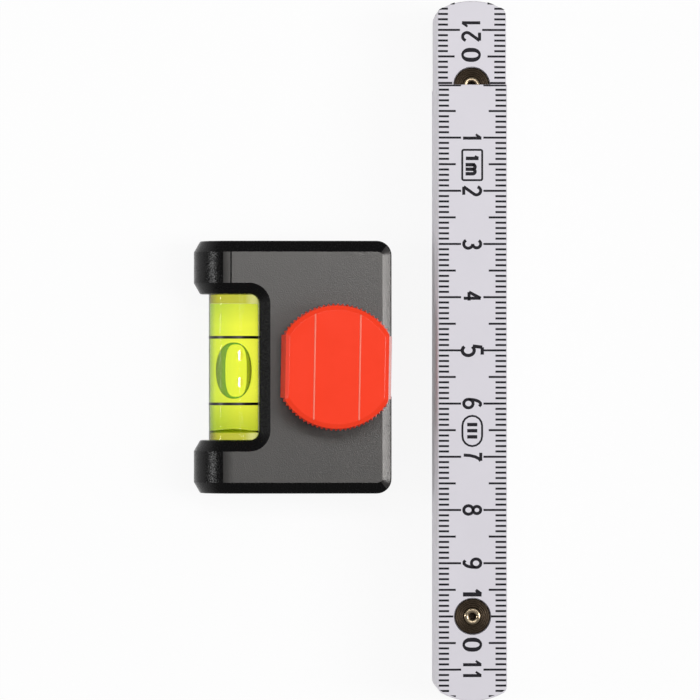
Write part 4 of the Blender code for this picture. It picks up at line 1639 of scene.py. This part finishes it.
# %% [markdown]
# ## Floor, light and camera
# The photograph has a pure white ground and soft light from the right. The floor is white paper that
# keeps the object's shadow; to the camera, to gloss and through glass it also shows some white of its
# own. Two lamps stand on the right, a weaker one low on the left, and two narrow ones overhead, past
# the far and the near end of the object.

# %% White floor and pale world
FLOOR_SIZE = 6
FLOOR_DROP = 0.05 * MM
FLOOR_GLOW = 0.9

floor_shape = bmesh.new()
bmesh.ops.create_grid(floor_shape, x_segments=1, y_segments=1, size=FLOOR_SIZE / 2)
bmesh.ops.translate(floor_shape, verts=floor_shape.verts[:], vec=(0, 0, -FLOOR_DROP))
floor = loose("floor", floor_shape)


def seen_directly(tree):
    """1 for rays from the camera, from gloss and through glass, and 0 for the light that floods."""
    rays = tree.nodes.new("ShaderNodeLightPath")
    gloss_or_glass = maths(
        tree, "MAXIMUM", rays.outputs["Is Glossy Ray"], rays.outputs["Is Transmission Ray"]
    )
    return maths(tree, "MAXIMUM", rays.outputs["Is Camera Ray"], gloss_or_glass)


paper = bpy.data.materials.new("white_paper")
paper.use_nodes = True
tree = paper.node_tree
tree.nodes.remove(tree.nodes["Principled BSDF"])
matt = node(tree, "ShaderNodeBsdfDiffuse", Color=(0.92, 0.92, 0.92, 1))
glow = node(tree, "ShaderNodeEmission", Color=(1, 1, 1, 1), Strength=1.0)
share = maths(tree, "MULTIPLY", seen_directly(tree), FLOOR_GLOW)
mix = tree.nodes.new("ShaderNodeMixShader")
tree.links.new(share, mix.inputs[0])
tree.links.new(matt.outputs[0], mix.inputs[1])
tree.links.new(glow.outputs[0], mix.inputs[2])
tree.links.new(mix.outputs[0], tree.nodes["Material Output"].inputs["Surface"])
floor.data.materials.append(paper)

WORLD_LIGHT = 0.24
world = bpy.data.worlds.new("studio")
world.use_nodes = True
bpy.context.scene.world = world
tree = world.node_tree
background = tree.nodes["Background"]
background.inputs["Color"].default_value = (1, 1, 1, 1)
camera_ray = tree.nodes.new("ShaderNodeLightPath").outputs["Is Camera Ray"]
strength = maths(tree, "MULTIPLY_ADD", camera_ray, 1.0 - WORLD_LIGHT, WORLD_LIGHT)
tree.links.new(strength, background.inputs["Strength"])

# %% Five soft lamps
AIM = Vector((0, 0, 0.01))


def soft_lamp(name, place, size, power):
    """An area lamp that faces the object."""
    data = bpy.data.lights.new(name, "AREA")
    data.shape = "RECTANGLE"
    data.size, data.size_y = size
    data.energy = power
    lamp = bpy.data.objects.new(name, data)
    lamp.location = place
    lamp.rotation_euler = (AIM - Vector(place)).to_track_quat("-Z", "Y").to_euler()
    bpy.context.scene.collection.objects.link(lamp)
    return lamp


soft_lamp("key_right", (0.56, 0.0, 0.8), (0.28, 0.46), 4.1)
soft_lamp("low_right", (0.9, 0.0, 0.42), (0.3, 0.3), 0.6)
soft_lamp("side_left", (-0.88, 0.0, 0.42), (0.22, 0.1), 2.3)
soft_lamp("upper_far", (0.02, 0.16, 0.62), (0.45, 0.12), 0.95)
soft_lamp("upper_near", (0.0, -0.28, 1.0), (0.5, 0.15), 0.35)

# %% The camera of the photograph
CAMERA_PLACE = Vector((-29.96, -4.07, 975)) * MM
CAMERA_LEAN_X = math.radians(0.249)
CAMERA_LEAN_Y = math.radians(-1.797)
CAMERA_LENS = 260.6

camera_data = bpy.data.cameras.new("photo_camera")
camera_data.lens = CAMERA_LENS
camera = bpy.data.objects.new("photo_camera", camera_data)
camera.location = CAMERA_PLACE
camera.rotation_euler = (CAMERA_LEAN_X, CAMERA_LEAN_Y, 0)
bpy.context.scene.collection.objects.link(camera)
bpy.context.scene.camera = camera
bpy.context.scene.view_settings.view_transform = "Standard"
